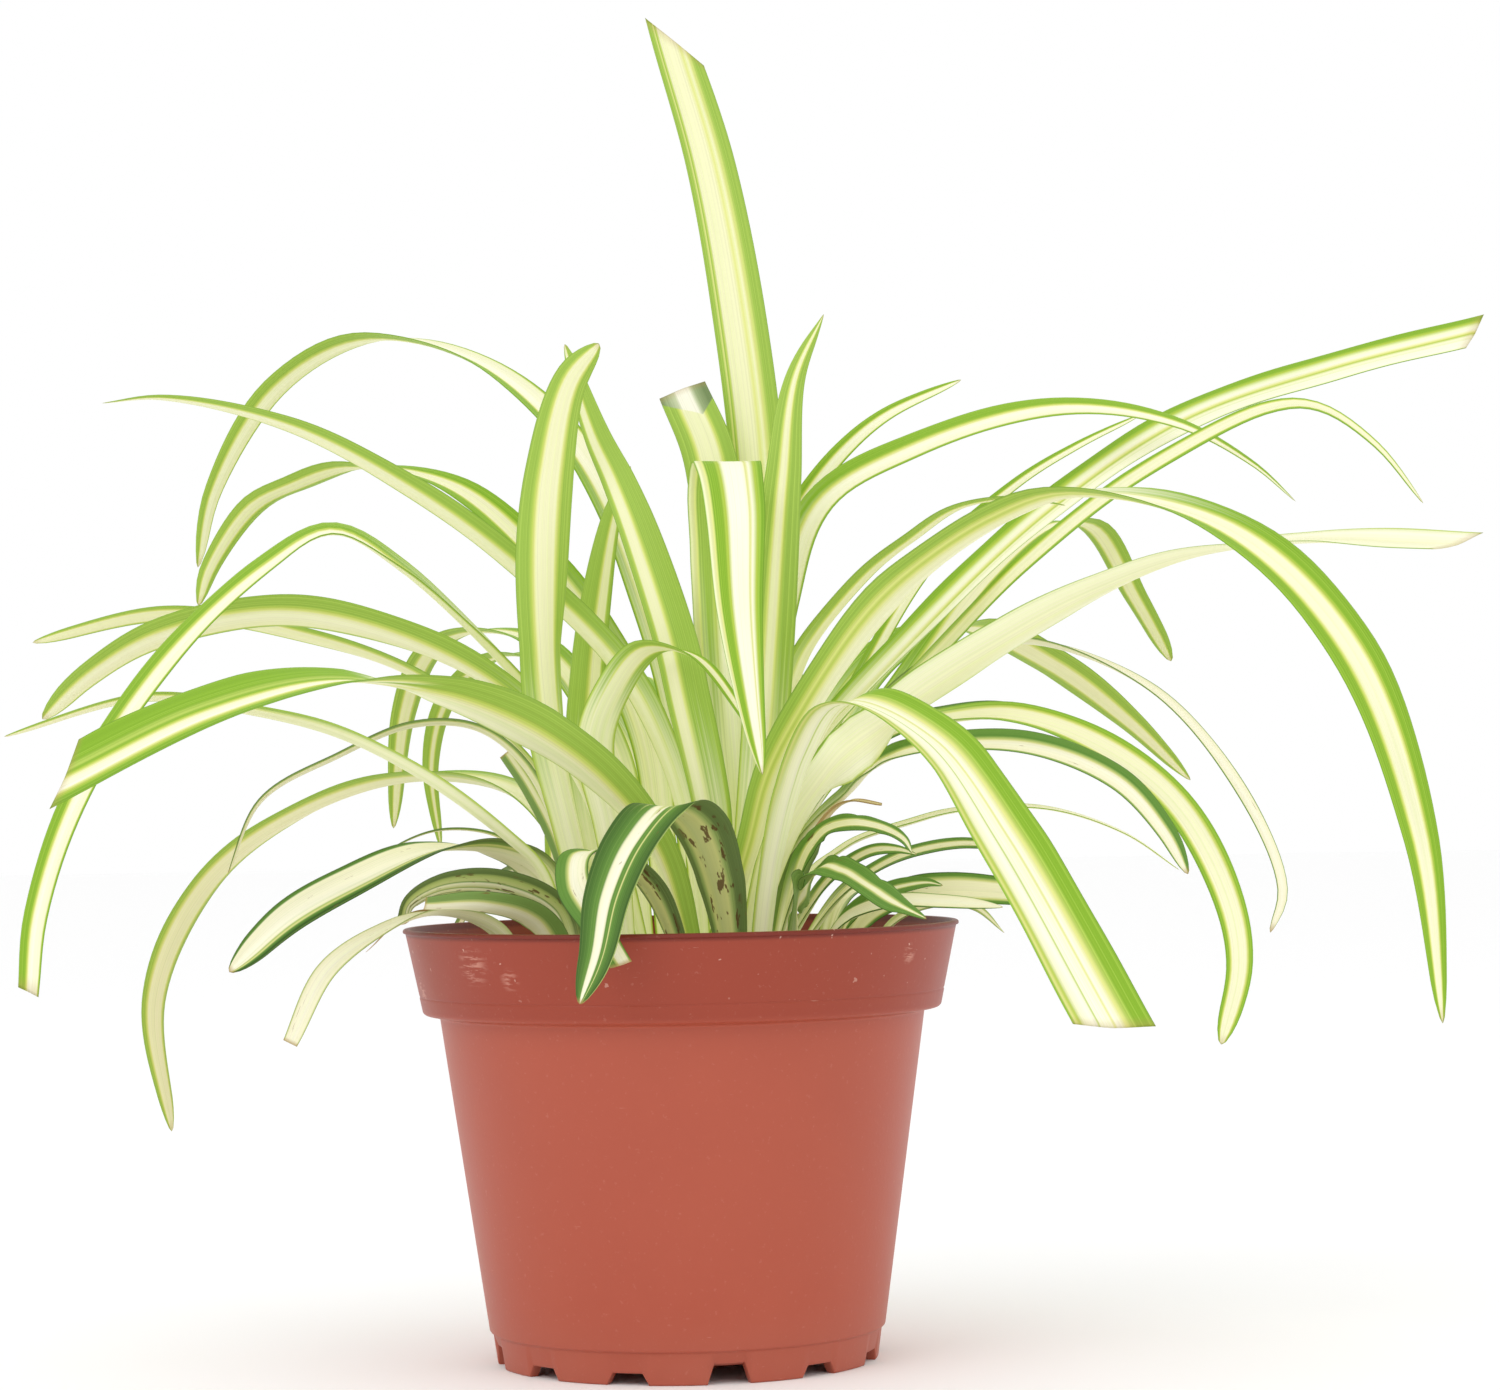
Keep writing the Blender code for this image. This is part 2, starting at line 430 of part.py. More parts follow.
def make_soil():
    """The soil: it fills the pot a hair clear of the wall, with an oval hole for the crown."""
    top_radius = collar_radius(SOIL_TOP) - WALL - CLEARANCE
    section = [(0, FLOOR_TOP + CLEARANCE)]
    section += inside_profile(CLEARANCE)
    section.append((top_radius, SOIL_TOP))
    section.append((0, SOIL_TOP))
    soil = turned("soil", "soil", section[::-1])
    hole_top = SOIL_TOP + CROWN_RISE
    hole_foot = SOIL_TOP - CROWN_DEPTH
    hole = [(0, hole_top), (1, hole_top), (1, hole_foot), (0, hole_foot)]
    wide = (CROWN_LONG + CLEARANCE, CROWN_SHORT + CLEARANCE)
    cut(soil, turned("hole", "soil", hole, CROWN_STEPS, wide))
    return soil


def seat_height(x, y):
    """The height of the crown's dome, or of the soil outside it."""
    inside = 1 - (x / CROWN_LONG) ** 2 - (y / CROWN_SHORT) ** 2
    return SOIL_TOP + CROWN_RISE * np.sqrt(np.maximum(inside, 0))


def in_place(point):
    """A point as seen from the eye, moved along its line of sight to its own depth."""
    across, up, depth = np.array(point) * MM
    reach = (depth - EYE[1]) / -EYE[1]
    return np.array([EYE[0] + (across - EYE[0]) * reach, depth, EYE[2] + (up - EYE[2]) * reach])


def smooth_path(knots, count=None):
    """A centripetal Catmull-Rom curve through the knots, in points at even distances."""
    knots = np.array(knots)
    points = np.vstack([2 * knots[0] - knots[1], knots, 2 * knots[-1] - knots[-2]])
    pieces = []
    for a, b, c, d in zip(points, points[1:], points[2:], points[3:]):
        ta = 0
        tb = ta + np.linalg.norm(b - a) ** 0.5
        tc = tb + np.linalg.norm(c - b) ** 0.5
        td = tc + np.linalg.norm(d - c) ** 0.5
        t = np.linspace(tb, tc, 40, endpoint=False)[:, None]
        ab = (tb - t) / (tb - ta) * a + (t - ta) / (tb - ta) * b
        bc = (tc - t) / (tc - tb) * b + (t - tb) / (tc - tb) * c
        cd = (td - t) / (td - tc) * c + (t - tc) / (td - tc) * d
        abc = (tc - t) / (tc - ta) * ab + (t - ta) / (tc - ta) * bc
        bcd = (td - t) / (td - tb) * bc + (t - tb) / (td - tb) * cd
        pieces.append((tc - t) / (tc - tb) * abc + (t - tb) / (tc - tb) * bcd)
    line = np.vstack(pieces + [knots[-1:]])
    along = np.concatenate([[0], np.cumsum(np.linalg.norm(np.diff(line, axis=0), axis=1))])
    if count is None:
        count = int(np.clip(round(along[-1] / BLADE_SEGMENT), SHORTEST_BLADE, LONGEST_BLADE)) + 1
    even = np.linspace(0, along[-1], count)
    return np.stack([np.interp(even, along, line[:, axis]) for axis in range(3)], axis=1)


def unit(vectors):
    """Vectors of length one."""
    return vectors / np.linalg.norm(vectors, axis=1)[:, None]


def blade_points(row, count=None, columns=BLADE_COLUMNS):
    """Points of a blade, rows along it and columns across: the path, plus a V-shaped section that widens
    from the base, tapers to the tip, flattens where the path bends sharply, is turned by the roll and is
    sheared near a slanting cut end."""
    kind, width, tip, slant, heading, rolls, root, points = row
    root_x, root_y = np.array(root) * MM
    start = (root_x, root_y, seat_height(root_x, root_y) + CLEARANCE)
    path = smooth_path([start] + [in_place(p) for p in points], count)
    t = np.linspace(0, 1, len(path))
    along = unit(np.gradient(path, axis=0))
    turn = np.radians(heading)
    level = np.array([-np.sin(turn), np.cos(turn), 0])
    side = unit(level - (along @ level)[:, None] * along)
    up = np.cross(along, side)
    roll = np.radians(np.interp(t, np.linspace(0, 1, len(rolls)), rolls))[:, None]
    side, up = side * np.cos(roll) + up * np.sin(roll), up * np.cos(roll) - side * np.sin(roll)
    widening = BASE_WIDTH + (1 - BASE_WIDTH) * np.sin(np.pi / 2 * np.minimum(t / WIDENING_END, 1))
    wide = width * MM * widening * (1 - (1 - tip) * t ** TAPER_POWER)
    fold = np.radians(BASE_FOLD - (BASE_FOLD - TIP_FOLD) * np.minimum(t / FOLD_END, 1))
    turning = np.linalg.norm(np.gradient(along, axis=0), axis=1)
    bend = turning / np.linalg.norm(np.gradient(path, axis=0), axis=1)
    fold = fold / (1 + (bend * wide) ** 2)
    u = np.linspace(-1, 1, columns)
    across = (wide * np.cos(fold) / 2)[:, None] * u
    lift = (wide * np.sin(fold) / 2)[:, None] * (np.abs(u) - 0.5)
    shear = (slant * MM / 2 * np.clip((t - 0.75) / 0.25, 0, 1) ** 2)[:, None] * u
    blade = (path[:, None] + across[..., None] * side[:, None] + lift[..., None] * up[:, None]
             + shear[..., None] * along[:, None])
    lowest = seat_height(blade[..., 0], blade[..., 1]) + CLEARANCE + BLADE_THICKNESS / 2
    blade[..., 2] = np.where(seat_area(blade), np.maximum(blade[..., 2], lowest), blade[..., 2])
    return blade


def seat_area(blade):
    """True where a blade's point stands over the soil."""
    return np.hypot(blade[..., 0], blade[..., 1]) < collar_radius(SOIL_TOP) - WALL


def make_leaf(name, row):
    """One leaf: its blade as triangles, given its thickness on both sides alike."""
    blade = blade_points(row)
    rows, columns = blade.shape[:2]
    faces = []
    for i in range(rows - 1):
        for j in range(columns - 1):
            near = i * columns + j
            far = near + columns
            faces.append((near, near + 1, far + 1))
            faces.append((near, far + 1, far))
    leaf = new_object(name, row[0], blade.reshape(-1, 3), faces)
    solidify = leaf.modifiers.new("thickness", "SOLIDIFY")
    solidify.thickness = BLADE_THICKNESS
    solidify.offset = 0
    return leaf


def main():
    for old in list(bpy.data.objects):
        bpy.data.objects.remove(old)
    make_pot()
    make_soil()
    make_crown()
    for name, row in LEAVES.items():
        make_leaf(name, row)


main()
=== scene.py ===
from itertools import combinations
from math import radians

import bpy
import numpy as np
from mathutils import Matrix, Vector


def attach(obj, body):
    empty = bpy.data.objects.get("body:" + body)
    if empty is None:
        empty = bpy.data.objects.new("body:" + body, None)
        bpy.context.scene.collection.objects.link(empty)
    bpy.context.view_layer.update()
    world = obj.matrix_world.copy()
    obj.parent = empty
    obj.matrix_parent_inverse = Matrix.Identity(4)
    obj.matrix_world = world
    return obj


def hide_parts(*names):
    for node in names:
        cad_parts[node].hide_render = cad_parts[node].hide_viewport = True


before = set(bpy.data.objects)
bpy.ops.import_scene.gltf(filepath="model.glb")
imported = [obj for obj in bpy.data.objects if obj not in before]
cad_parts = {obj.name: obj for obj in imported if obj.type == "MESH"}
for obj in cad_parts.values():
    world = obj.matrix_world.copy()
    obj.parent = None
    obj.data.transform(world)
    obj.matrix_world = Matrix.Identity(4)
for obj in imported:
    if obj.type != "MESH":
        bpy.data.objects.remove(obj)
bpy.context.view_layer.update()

# Metres, +Z up, the front towards -Y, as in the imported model.
MM = 0.001

# Pot sizes, as the solid pot has them
RIM_RADIUS = 65.0 * MM
POT_HEIGHT = 101.5 * MM
COLLAR_TOP_RADIUS = 64.4 * MM
COLLAR_TOP = 100.4 * MM
COLLAR_FOOT_RADIUS = 60.6 * MM
COLLAR_FOOT = 82.0 * MM
COLLAR_LINE = 85.7 * MM
BODY_TOP_RADIUS = 56.6 * MM
BODY_TOP = 80.4 * MM
BODY_FOOT_RADIUS = 46.2 * MM
BODY_FOOT = 7.8 * MM
FOOT_RADIUS = 44.4 * MM
WALL = 1.2 * MM
FLOOR_TOP = 5.6 * MM
CHANNEL_HEIGHT = 4.0 * MM
CHANNEL_OUTER = 42.0 * MM
CHANNEL_INNER = 17.5 * MM
NOTCH_COUNT = 12
NOTCH_FIRST = 13
NOTCH_HALF_ANGLE = 6.5
NOTCH_TOP_HALF_ANGLE = 4.5
NOTCH_HEIGHT = 2.7 * MM
DEEP_NOTCH_EVERY = 3
DEEP_NOTCH_HEIGHT = 4.7 * MM
DRAIN_RADIUS = 4.5 * MM
DRAIN_REACH = 30.0 * MM
DRAIN_ENDS = (8 * MM, 2 * MM)
CORNER_RADIUS = 0.35 * MM

# Soil and crown. The soil's sides go down through radii and heights in millimetres
SOIL_TOP = 92.5 * MM
CROWN_LONG = 36.0 * MM
CROWN_SHORT = 24.0 * MM
CROWN_RISE = 5.0 * MM
SOIL_CLEARANCE = 0.3 * MM
SOIL_SIDES = [(55.1, 82), (44.9, 8), (43, 6)]
SOIL_SEED = 7
CRUMB_COUNT = 1500
CRUMB_LEAST = 0.3 * MM
CRUMB_MOST = 1.4 * MM
CRUMB_MARGIN = 1.5 * MM

# Blades
BASE_WIDTH = 0.5
WIDENING_END = 0.4
TAPER_POWER = 3.6
BASE_FOLD = 40
TIP_FOLD = 12
FOLD_END = 0.7
BLADE_ROWS = 84
BLADE_COLUMNS = 15
ROOT_SINK = 2.2 * MM
HALF_THICKNESS = 0.28 * MM
POINTED_BELOW = 0.45
POINT_LENGTH = 9 * MM
THICK_FROM_WIDTH = 8 * MM
SLANT_START = 0.75
VALLEY_ROUNDING = 0.03
VALLEY_DROP = 0.52
RIPPLE_SCALES = (5.2 * MM, 6.1 * MM)
RIPPLE_HEIGHT = 0.012
LEAF_SEED = 100
WITHERED_SEED = 160

# The camera's place, its pitch and roll in degrees and its lens, then the place close to it that the leaf
# points were read from
CAMERA = (0.0171, -0.95, 0.1337)
PITCH = 1.27
ROLL = -1.0
LENS = 97.2
EYE = np.array([17.0, -950.0, 134.0]) * MM

# Leaves by name, without leaf_: kind, width, share of the width left at the tip, slant of the cut end,
# heading, rolls at even steps from the base to the tip, root on the plan, then the points along it as seen
# from the eye: across, up on the plane of the pot's axis, and depth. Millimetres and degrees.
LEAVES = {
    "left_front_arch": ("light", 15.5, 0.9, 15, 215, (5, 10, 24, 36, 22, -12, -27, -33, -40), (3, -17), [
        (-5, 119, -19.5), (-18.5, 136, -27), (-37, 149, -39), (-58, 157.3, -53), (-82, 160.3, -66),
        (-112, 153.3, -80), (-144, 138.5, -94)]),
    "left_long": ("light", 10.5, 0.5, 2, 187, (22, -66), (-9, 5.5), [
        (-18, 130, 8.5), (-30, 150, 8), (-42, 165, 4), (-64, 186, -6), (-80, 195, -17), (-96, 187, -29),
        (-120, 165, -43), (-141, 134, -53), (-151, 106, -58), (-153, 88, -60)]),
    "left_tall_back": ("light", 13, 0.2, 0, 135, (-20, 15), (4, 7), [
        (3, 130, 11), (-7, 177, 20.5), (-22, 212, 31), (-45, 234, 41), (-72, 240, 50), (-93, 229, 57),
        (-108, 205, 62), (-112, 187, 64)]),
    "left_pointed": ("light", 10, 0.08, 0, 215, (15, 20), (5, -4), [
        (3, 118, -4), (-3, 142, -3), (-14, 163, -1), (-38, 187, 2), (-62, 205, 4), (-90, 220, 7),
        (-120, 227, 10), (-134, 226, 10)]),
    "left_middle_back": ("light", 13, 0.28, 0, 123, (-5, 6), (-4, 12), [
        (-8, 146, 19), (-20, 172, 24), (-34, 190, 27), (-52, 205, 31), (-75, 210, 34), (-89, 206, 36),
        (-99, 201, 38), (-109, 187, 41), (-112, 178, 42)]),
    "left_broad": ("light", 14, 0.35, 0, 205, (-24, 68), (-14, -2), [
        (-21, 131, -1.5), (-36, 153, -2.5), (-60, 168, -7), (-92, 176, -14), (-122, 171, -18),
        (-138, 162, -21), (-149, 152, -24)]),
    "left_slim": ("light", 9, 0.3, 0, 180, (-12, 48), (-18.5, 4), [
        (-32, 136, 5.5), (-60, 160, 4), (-90, 171, 1), (-120, 176, 0), (-151, 170, -2)]),
    "left_slim_low": ("light", 7.5, 0.3, 0, 200, (10, 25), (-25, -15), [
        (-33, 114.5, -18), (-40.5, 122.3, -21), (-60, 137, -26), (-80, 147.5, -30), (-100, 153, -34),
        (-125, 156.5, -37), (-158, 148, -39)]),
    "left_thin_dark": ("dark", 5, 0.3, 0, 190, (15, 25), (-24, 4), [
        (-27, 118, 3), (-36, 139, 1), (-47, 148, -1), (-62, 149, -4), (-80, 142, -8), (-98, 132, -11),
        (-106, 115, -13)]),
    "left_falling": ("light", 13.5, 0.25, 0, 140, (0, 0), (-20.5, 12.5), [
        (-25, 114, 15), (-37, 132, 22), (-60, 137, 31), (-87.5, 129.5, 40), (-111, 112.5, 48),
        (-123.5, 86, 52), (-120, 55, 51)]),
    "left_dark": ("dark", 12, 0.4, 0, 235, (46, -64), (-26, -7.5), [
        (-33, 113.5, -6.5), (-42, 119, -10), (-58, 120, -27), (-76, 113, -40), (-92, 104.5, -49),
        (-106, 92, -55)]),
    "left_over_rim": ("pale", 7, 0.5, 0, 215, (50, -55), (-35, -17), [
        (-44, 101, -22), (-58, 105, -31), (-70, 101, -36), (-83, 92, -38), (-92, 75, -40)]),
    "left_rim_spotted": ("dark", 12, 0.6, 0, 200, (25, 38), (-24, -21), [
        (-30, 105, -24.5), (-42, 111, -28), (-56, 111, -28), (-63.5, 107, -27), (-65, 102.5, -26)]),
    "left_rim_striped": ("dark", 10, 0.5, 0, 205, (30, 35), (-24, -31), [
        (-34, 103, -38), (-46, 107, -44), (-60, 107, -47)]),
    "left_far": ("light", 12, 0.25, 0, 125, (0, 0), (-9, 15), [
        (-16, 142, 24), (-32, 167, 38), (-47, 171, 52), (-58, 166, 64), (-64, 152, 74), (-67, 125, 80)]),
    "left_far_slim": ("light", 9, 0.2, 0, 115, (0, 0), (-2, 18), [
        (-6, 130, 34), (-24, 160, 58), (-42, 165, 74), (-54, 155, 84), (-58, 140, 90), (-56, 120, 94)]),
    "left_stub": ("dark", 6, 0.9, 0, 250, (0, 0), (-23, 9), [
        (-28, 120, 10), (-34.5, 134, 11), (-40, 142.5, 12)]),
    "tall": ("light", 14, 0.75, -15, 270, (0, 0), (16.5, 2.5), [
        (20, 150, 9), (20, 205, 12.5), (16, 245, 14), (10, 280, 16), (2, 309, 16)]),
    "centre_pointed": ("light", 12.5, 0.08, 0, 270, (0, 0), (13, -7.5), [
        (19.5, 138, -15.5), (22.3, 168, -18), (24, 188, -18), (25.8, 206, -14.5), (29, 229, -10),
        (36, 244, -9.5)]),
    "left_upright": ("light", 16, 0.35, 0, 275, (62, 58, 45, 8, 0), (-18, -7.5), [
        (-24, 119, -11.5), (-30, 150, -14.5), (-31, 180, -14), (-29, 208, -12.5), (-24, 229, -14),
        (-17, 238, -16)]),
    "centre_leaning": ("light", 11.5, 0.2, 0, 265, (0, 0), (9, -9), [
        (8.7, 118, -13.5), (7.3, 130.4, -17.5), (2.6, 154, -19.5), (-0.3, 168, -18), (-8, 193, -10),
        (-13, 206, -4), (-18, 217, 1.5), (-25, 238, 5)]),
    "centre_hidden": ("light", 10, 0.2, 0, 265, (0, 0), (-15, 12), [
        (-22, 140, 16), (-21, 160, 16), (-18.5, 179, 16.5), (-14.5, 198, 17), (-10, 209, 18)]),
    "centre_folded": ("light", 14, 0.85, 0, 270, (0, 0), (11, 1.5), [
        (12, 150, 4), (11, 190, 3.5), (8.3, 212, 5), (2.4, 226.9, 8.5)]),
    "centre_hanging": ("light", 18, 0.12, 0, 270, (0, 0), (13, -5.5), [
        (14, 119, -7), (14.2, 130, -9.5), (13.3, 148, -11), (12.3, 168, -11.5), (11.7, 188, -13),
        (11.3, 203, -18.5), (12.5, 209.5, -25), (14.3, 199, -36), (15, 175, -42), (17, 155, -46),
        (19.7, 136, -47)]),
    "centre_small_arch": ("light", 10, 0.2, 0, 300, (-15, -20), (-12, -11), [
        (-16, 125, -13), (-19.3, 143.7, -16), (-15.5, 155.4, -19), (-7, 165.8, -24), (4.2, 164, -29),
        (14.8, 150.8, -35), (19, 143, -37)]),
    "front_dark": ("dark", 15, 0.3, 0, 260, (0, 0), (12.5, -24.5), [
        (9, 112, -30), (4, 125, -38), (-3, 129, -47), (-11, 121, -58), (-17, 108, -69), (-20, 94, -77),
        (-24, 83, -81)]),
    "front_dark_behind": ("dark", 9, 0.6, 2, 240, (0, 0), (2, -31), [
        (-7, 110, -37), (-17, 118, -45), (-24, 118, -52), (-25, 111, -59), (-20, 102, -67), (-14, 92, -71)]),
    "right_broad": ("light", 13, 0.85, 9, 15, (8, 40), (11.5, 6), [
        (21.5, 122, 14), (29, 138.5, 7.5), (56, 168, 12), (88, 197, 20), (120, 217.5, 25), (155, 229, 31),
        (189, 237, 35)]),
    "right_under": ("light", 9, 0.2, 0, 5, (10, 40), (17.5, 8.5), [
        (24, 118, 9.5), (32, 134, 10.5), (58, 160, 17), (82, 184, 10), (108, 204, 7), (140, 220, 0.5),
        (152, 220, 3.5), (165, 211, 3), (176, 197, 1.5)]),
    "right_high_arch": ("light", 11.5, 0.12, 0, 15, (30, 40), (21.5, 18.5), [
        (22, 140, 22.5), (26, 176, 24.5), (34, 199, 26), (56, 212, 20), (90, 221, 15), (118, 217, 11),
        (136, 207, 10), (146, 198, 9.5)]),
    "right_high_slim": ("light", 7, 0.25, 0, 30, (40, 55), (15, 21), [
        (18, 150, 29), (25, 190, 32.5), (31, 201, 33.5), (40, 212, 34), (50, 220, 34), (68, 228, 34)]),
    "right_thin_back": ("light", 5, 0.3, 0, 25, (30, 40), (17, 23), [
        (24, 125, 24), (40, 153, 27), (60, 185, 33), (80, 203, 38.5), (95, 212, 41), (110, 219, 44)]),
    "right_big_arch": ("light", 17, 0.12, 0, 300, (24, 14, 0, 16, 30), (8, -14), [
        (17, 118.5, -21), (22, 135, -23.5), (29.5, 149, -24.5), (45, 171, -28.5), (58, 183.5, -33),
        (77, 195.5, -44.5), (96, 201, -57), (131, 191.5, -73.5), (158.5, 163, -90.5), (173.5, 119.5, -101),
        (178, 75, -107)]),
    "right_companion": ("light", 13, 0.2, 0, 330, (10, 0), (13.5, -2.5), [
        (16, 128, -2.5), (18.7, 140.7, -2.5), (25.8, 153.7, -3), (30.7, 165.3, -4.5), (44.8, 182.4, -9),
        (55.8, 190.9, -14), (66.4, 197.8, -17), (80, 200, -21), (92, 198, -24.5)]),
    "right_pale": ("light", 15, 0.85, 16, 310, (-10, 22), (16, -12.5), [
        (22.5, 116, -18), (28.5, 128, -20), (36.3, 137.4, -21), (45.7, 145, -13.5), (54.6, 152.6, -12),
        (75, 165.3, -4.5), (98, 177.5, 2.5), (122, 186, 6.5), (150, 189, 11), (184, 187.5, 16)]),
    "right_far_hanging": ("light", 13, 0.4, 0, 50, (0, 0), (18, 25.5), [
        (26, 120, 28.5), (37, 137, 38), (52.5, 154, 49), (73, 181, 59.5), (88, 193, 66.5), (98, 193, 71.5),
        (108, 176, 79), (116, 161, 84.5)]),
    "right_far_broad": ("light", 18, 0.15, 0, 60, (0, 0), (14.5, 30), [
        (22, 120, 39.5), (34, 144, 54), (50, 164, 67), (68, 170, 77), (88, 161, 82.5), (106, 147, 86),
        (120, 133, 90)]),
    "right_long_thin": ("dark", 8, 0.35, 0, 335, (-45, 30), (16.5, 12.5), [
        (25, 115, 16), (32, 130, 19), (46, 149, 23), (64, 163, 26), (84, 166, 28), (112, 154, 33),
        (132, 130, 38), (141, 107, 40), (138, 97, 40)]),
    "right_dark_arch": ("dark", 11, 0.35, 0, 345, (5, 50), (17.5, -4), [
        (25, 114, -4.5), (31, 124, -4.5), (38.7, 131, -6), (45.7, 137.7, -6.5), (55, 141.5, -10.5),
        (82, 142, -12), (103, 133.5, -17), (114, 121, -21), (119, 111, -23)]),
    "right_trimmed": ("dark", 9, 0.6, 0, 5, (20, 38), (21.5, 11), [
        (24.5, 115, 10.5), (31, 129, 12.5), (41, 140, 14), (52, 146.5, 13), (62, 149, 13.5), (76, 150, 16.5),
        (90, 146, 16.5), (102, 138, 17.5)]),
    "right_falling": ("light", 12, 0.4, 0, 335, (0, 50), (22.5, 3.5), [
        (25, 115, 1.5), (30, 128, 2), (36, 139, 0.5), (47, 145.5, 0), (60, 148, -0.5), (78, 149, -0.5),
        (98, 142, -4.5), (116, 128, -9.5), (127.5, 107, -13.5), (130.5, 90, -16), (126, 71, -18)]),
    "right_thread": ("light", 5, 0.3, 0, 20, (0, 20), (24, 12), [
        (30, 112, 16), (37, 117.6, 20), (42, 120.5, 22), (53.5, 124, 25), (65, 126.8, 27), (86, 127, 31),
        (104, 121, 34), (117, 112, 37)]),
    "right_front_broad": ("light", 17, 0.95, 7, 305, (25, 32, 30, 12, 6, 6, 15, 20, 25), (18.5, -24), [
        (23, 118.5, -27), (30.5, 141.5, -36), (40, 153, -48), (60, 144, -69), (77, 120, -90),
        (101, 75.5, -113)]),
    "right_small_dark": ("dark", 10, 0.25, 0, 345, (30, 34, 38, 30, 25, 26), (22, -9), [
        (27.3, 112, -13.5), (30.3, 118.5, -16), (34.3, 122.8, -17), (41, 124.3, -21.5), (47.6, 123, -20.5),
        (52.5, 120.3, -21.5), (54.5, 117, -20)]),
    "right_small_low": ("dark", 7, 0.5, 0, 350, (20, 35), (27, 3), [
        (38, 108, 3.5), (45, 113, 4), (51, 116, 5), (58, 118, 6), (66, 119, 7), (74, 118.5, 8)]),
    "right_small_inner": ("dark", 7, 0.3, 0, 350, (20, 40), (24, -2), [
        (33, 109, -2), (38.5, 114.2, -3), (45, 117.7, -3.5), (51, 117.9, -4), (55.5, 116.7, -4.5)]),
    "right_rim_pale": ("dark", 12, 0.5, 0, 350, (30, 50), (36, 5), [
        (44, 102.5, 3.5), (53.5, 107.4, 2), (62, 108.4, 1), (72, 107.9, 0), (83, 106.5, -1)]),
    "right_rim_dark": ("dark", 8, 0.3, 0, 355, (25, 40), (34, -4), [
        (40, 102.5, -5), (48.8, 108.3, -6), (53.5, 109.6, -6.5), (58.1, 110, -7), (61.5, 109.3, -7.5)]),
    "right_rim_low": ("dark", 7, 0.3, 0, 345, (20, 40), (31, -12), [
        (37.7, 101, -14), (41.7, 103.3, -15), (46.4, 104.8, -16), (52.3, 105.8, -17), (59.3, 105.6, -18),
        (67.5, 105, -19), (75.5, 104, -20)]),
    "right_dark_upright": ("dark", 11, 0.1, 0, 320, (0, 0, -8, -15), (21, -4.5), [
        (24.5, 107, -6), (27, 112.8, -6.5), (30, 118, -8), (32.5, 122, -8.5), (35, 125, -10.5)]),
    "right_dark_drooping": ("dark", 12, 0.3, 0, 300, (50, 60, 45, 10, 0, 0), (25.5, -17.5), [
        (27, 105, -22.5), (30, 111, -18.5), (34, 114.3, -25.5), (39, 112.8, -27.5), (45, 108.8, -31),
        (51, 105, -30.5), (57.5, 101.6, -31)]),
    "back_centre_left": ("light", 11, 0.12, 0, 100, (0, 0), (4, 31), [
        (2, 130, 43), (-2, 156, 66), (-8, 158, 92), (-14, 140, 116), (-17, 112, 128)]),
    "back_centre_right": ("light", 12, 0.12, 0, 88, (0, 0), (12, 25), [
        (11, 132, 33), (13, 163, 54), (15, 168, 84), (17, 150, 108), (18, 118, 124)]),
    "back_right": ("light", 11, 0.12, 0, 70, (0, 0), (15, 34), [
        (17, 128, 50), (22, 150, 70), (26, 159, 90), (28.5, 153, 106), (29, 139, 116)]),
    "back_left": ("light", 10, 0.12, 0, 110, (0, 0), (-10, 23), [
        (-13, 128, 33), (-20, 147, 54), (-26, 144, 78), (-29, 124, 96), (-30, 98, 104)]),
    "back_left_low": ("dark", 8, 0.2, 0, 140, (0, 0), (-19, 18), [
        (-25, 108, 26), (-34, 116, 40), (-46, 110, 56), (-55, 98, 66)]),
    "back_right_low": ("dark", 8, 0.2, 0, 45, (0, 0), (33, 24), [
        (37, 105, 31), (43, 109, 41), (51, 106, 52), (56, 99, 58)]),
}

# Thin withered leaves that lie at the rim, in the same terms
WITHERED = {
    "withered_left_thread": ("dark", 3, 0.1, 0, 200, (0, 20), (-26, -2), [
        (-36, 117, -4), (-43, 122.8, -6), (-55.6, 124.4, -9), (-66, 121, -12), (-76.7, 113, -15)]),
    "withered_left_tip": ("withered", 2.5, 0.3, 0, 200, (10, 20), (-37, -3), [
        (-38, 97, -2), (-52, 104, -2), (-63, 105, -3), (-74, 96, -4)]),
    "withered_right_tip": ("pale", 5, 0.2, 0, 350, (20, 30), (43, 8), [
        (50, 101, 8), (60, 105, 10), (69, 104, 11), (75.7, 98, 12)]),
    "withered_right_torn": ("withered", 4, 0.5, 0, 320, (0, 10), (24, -8), [
        (29, 116, -9), (35.5, 126.8, -9), (40, 129.5, -9), (47.6, 128.5, -9)]),
}


def linear(code):
    """A colour given as six hex digits, in linear light with alpha one."""
    parts = np.array([int(code[i:i + 2], 16) for i in (0, 2, 4)]) / 255
    light = np.where(parts <= 0.04045, parts / 12.92, ((parts + 0.055) / 1.055) ** 2.4)
    return (*light.tolist(), 1.0)


class Value:
    """A value in a material. Sums written on it add Math nodes."""

    def __init__(self, finish, socket):
        self.finish = finish
        self.socket = socket

    def math(self, operation, first, second):
        return self.finish.node("Math", {"operation": operation}, {0: first, 1: second})

    def __add__(self, other):
        return self.math("ADD", self, other)

    __radd__ = __add__

    def __sub__(self, other):
        return self.math("SUBTRACT", self, other)

    def __rsub__(self, other):
        return self.math("SUBTRACT", other, self)

    def __mul__(self, other):
        return self.math("MULTIPLY", self, other)

    __rmul__ = __mul__

    def __abs__(self):
        return self.finish.node("Math", {"operation": "ABSOLUTE"}, {0: self})


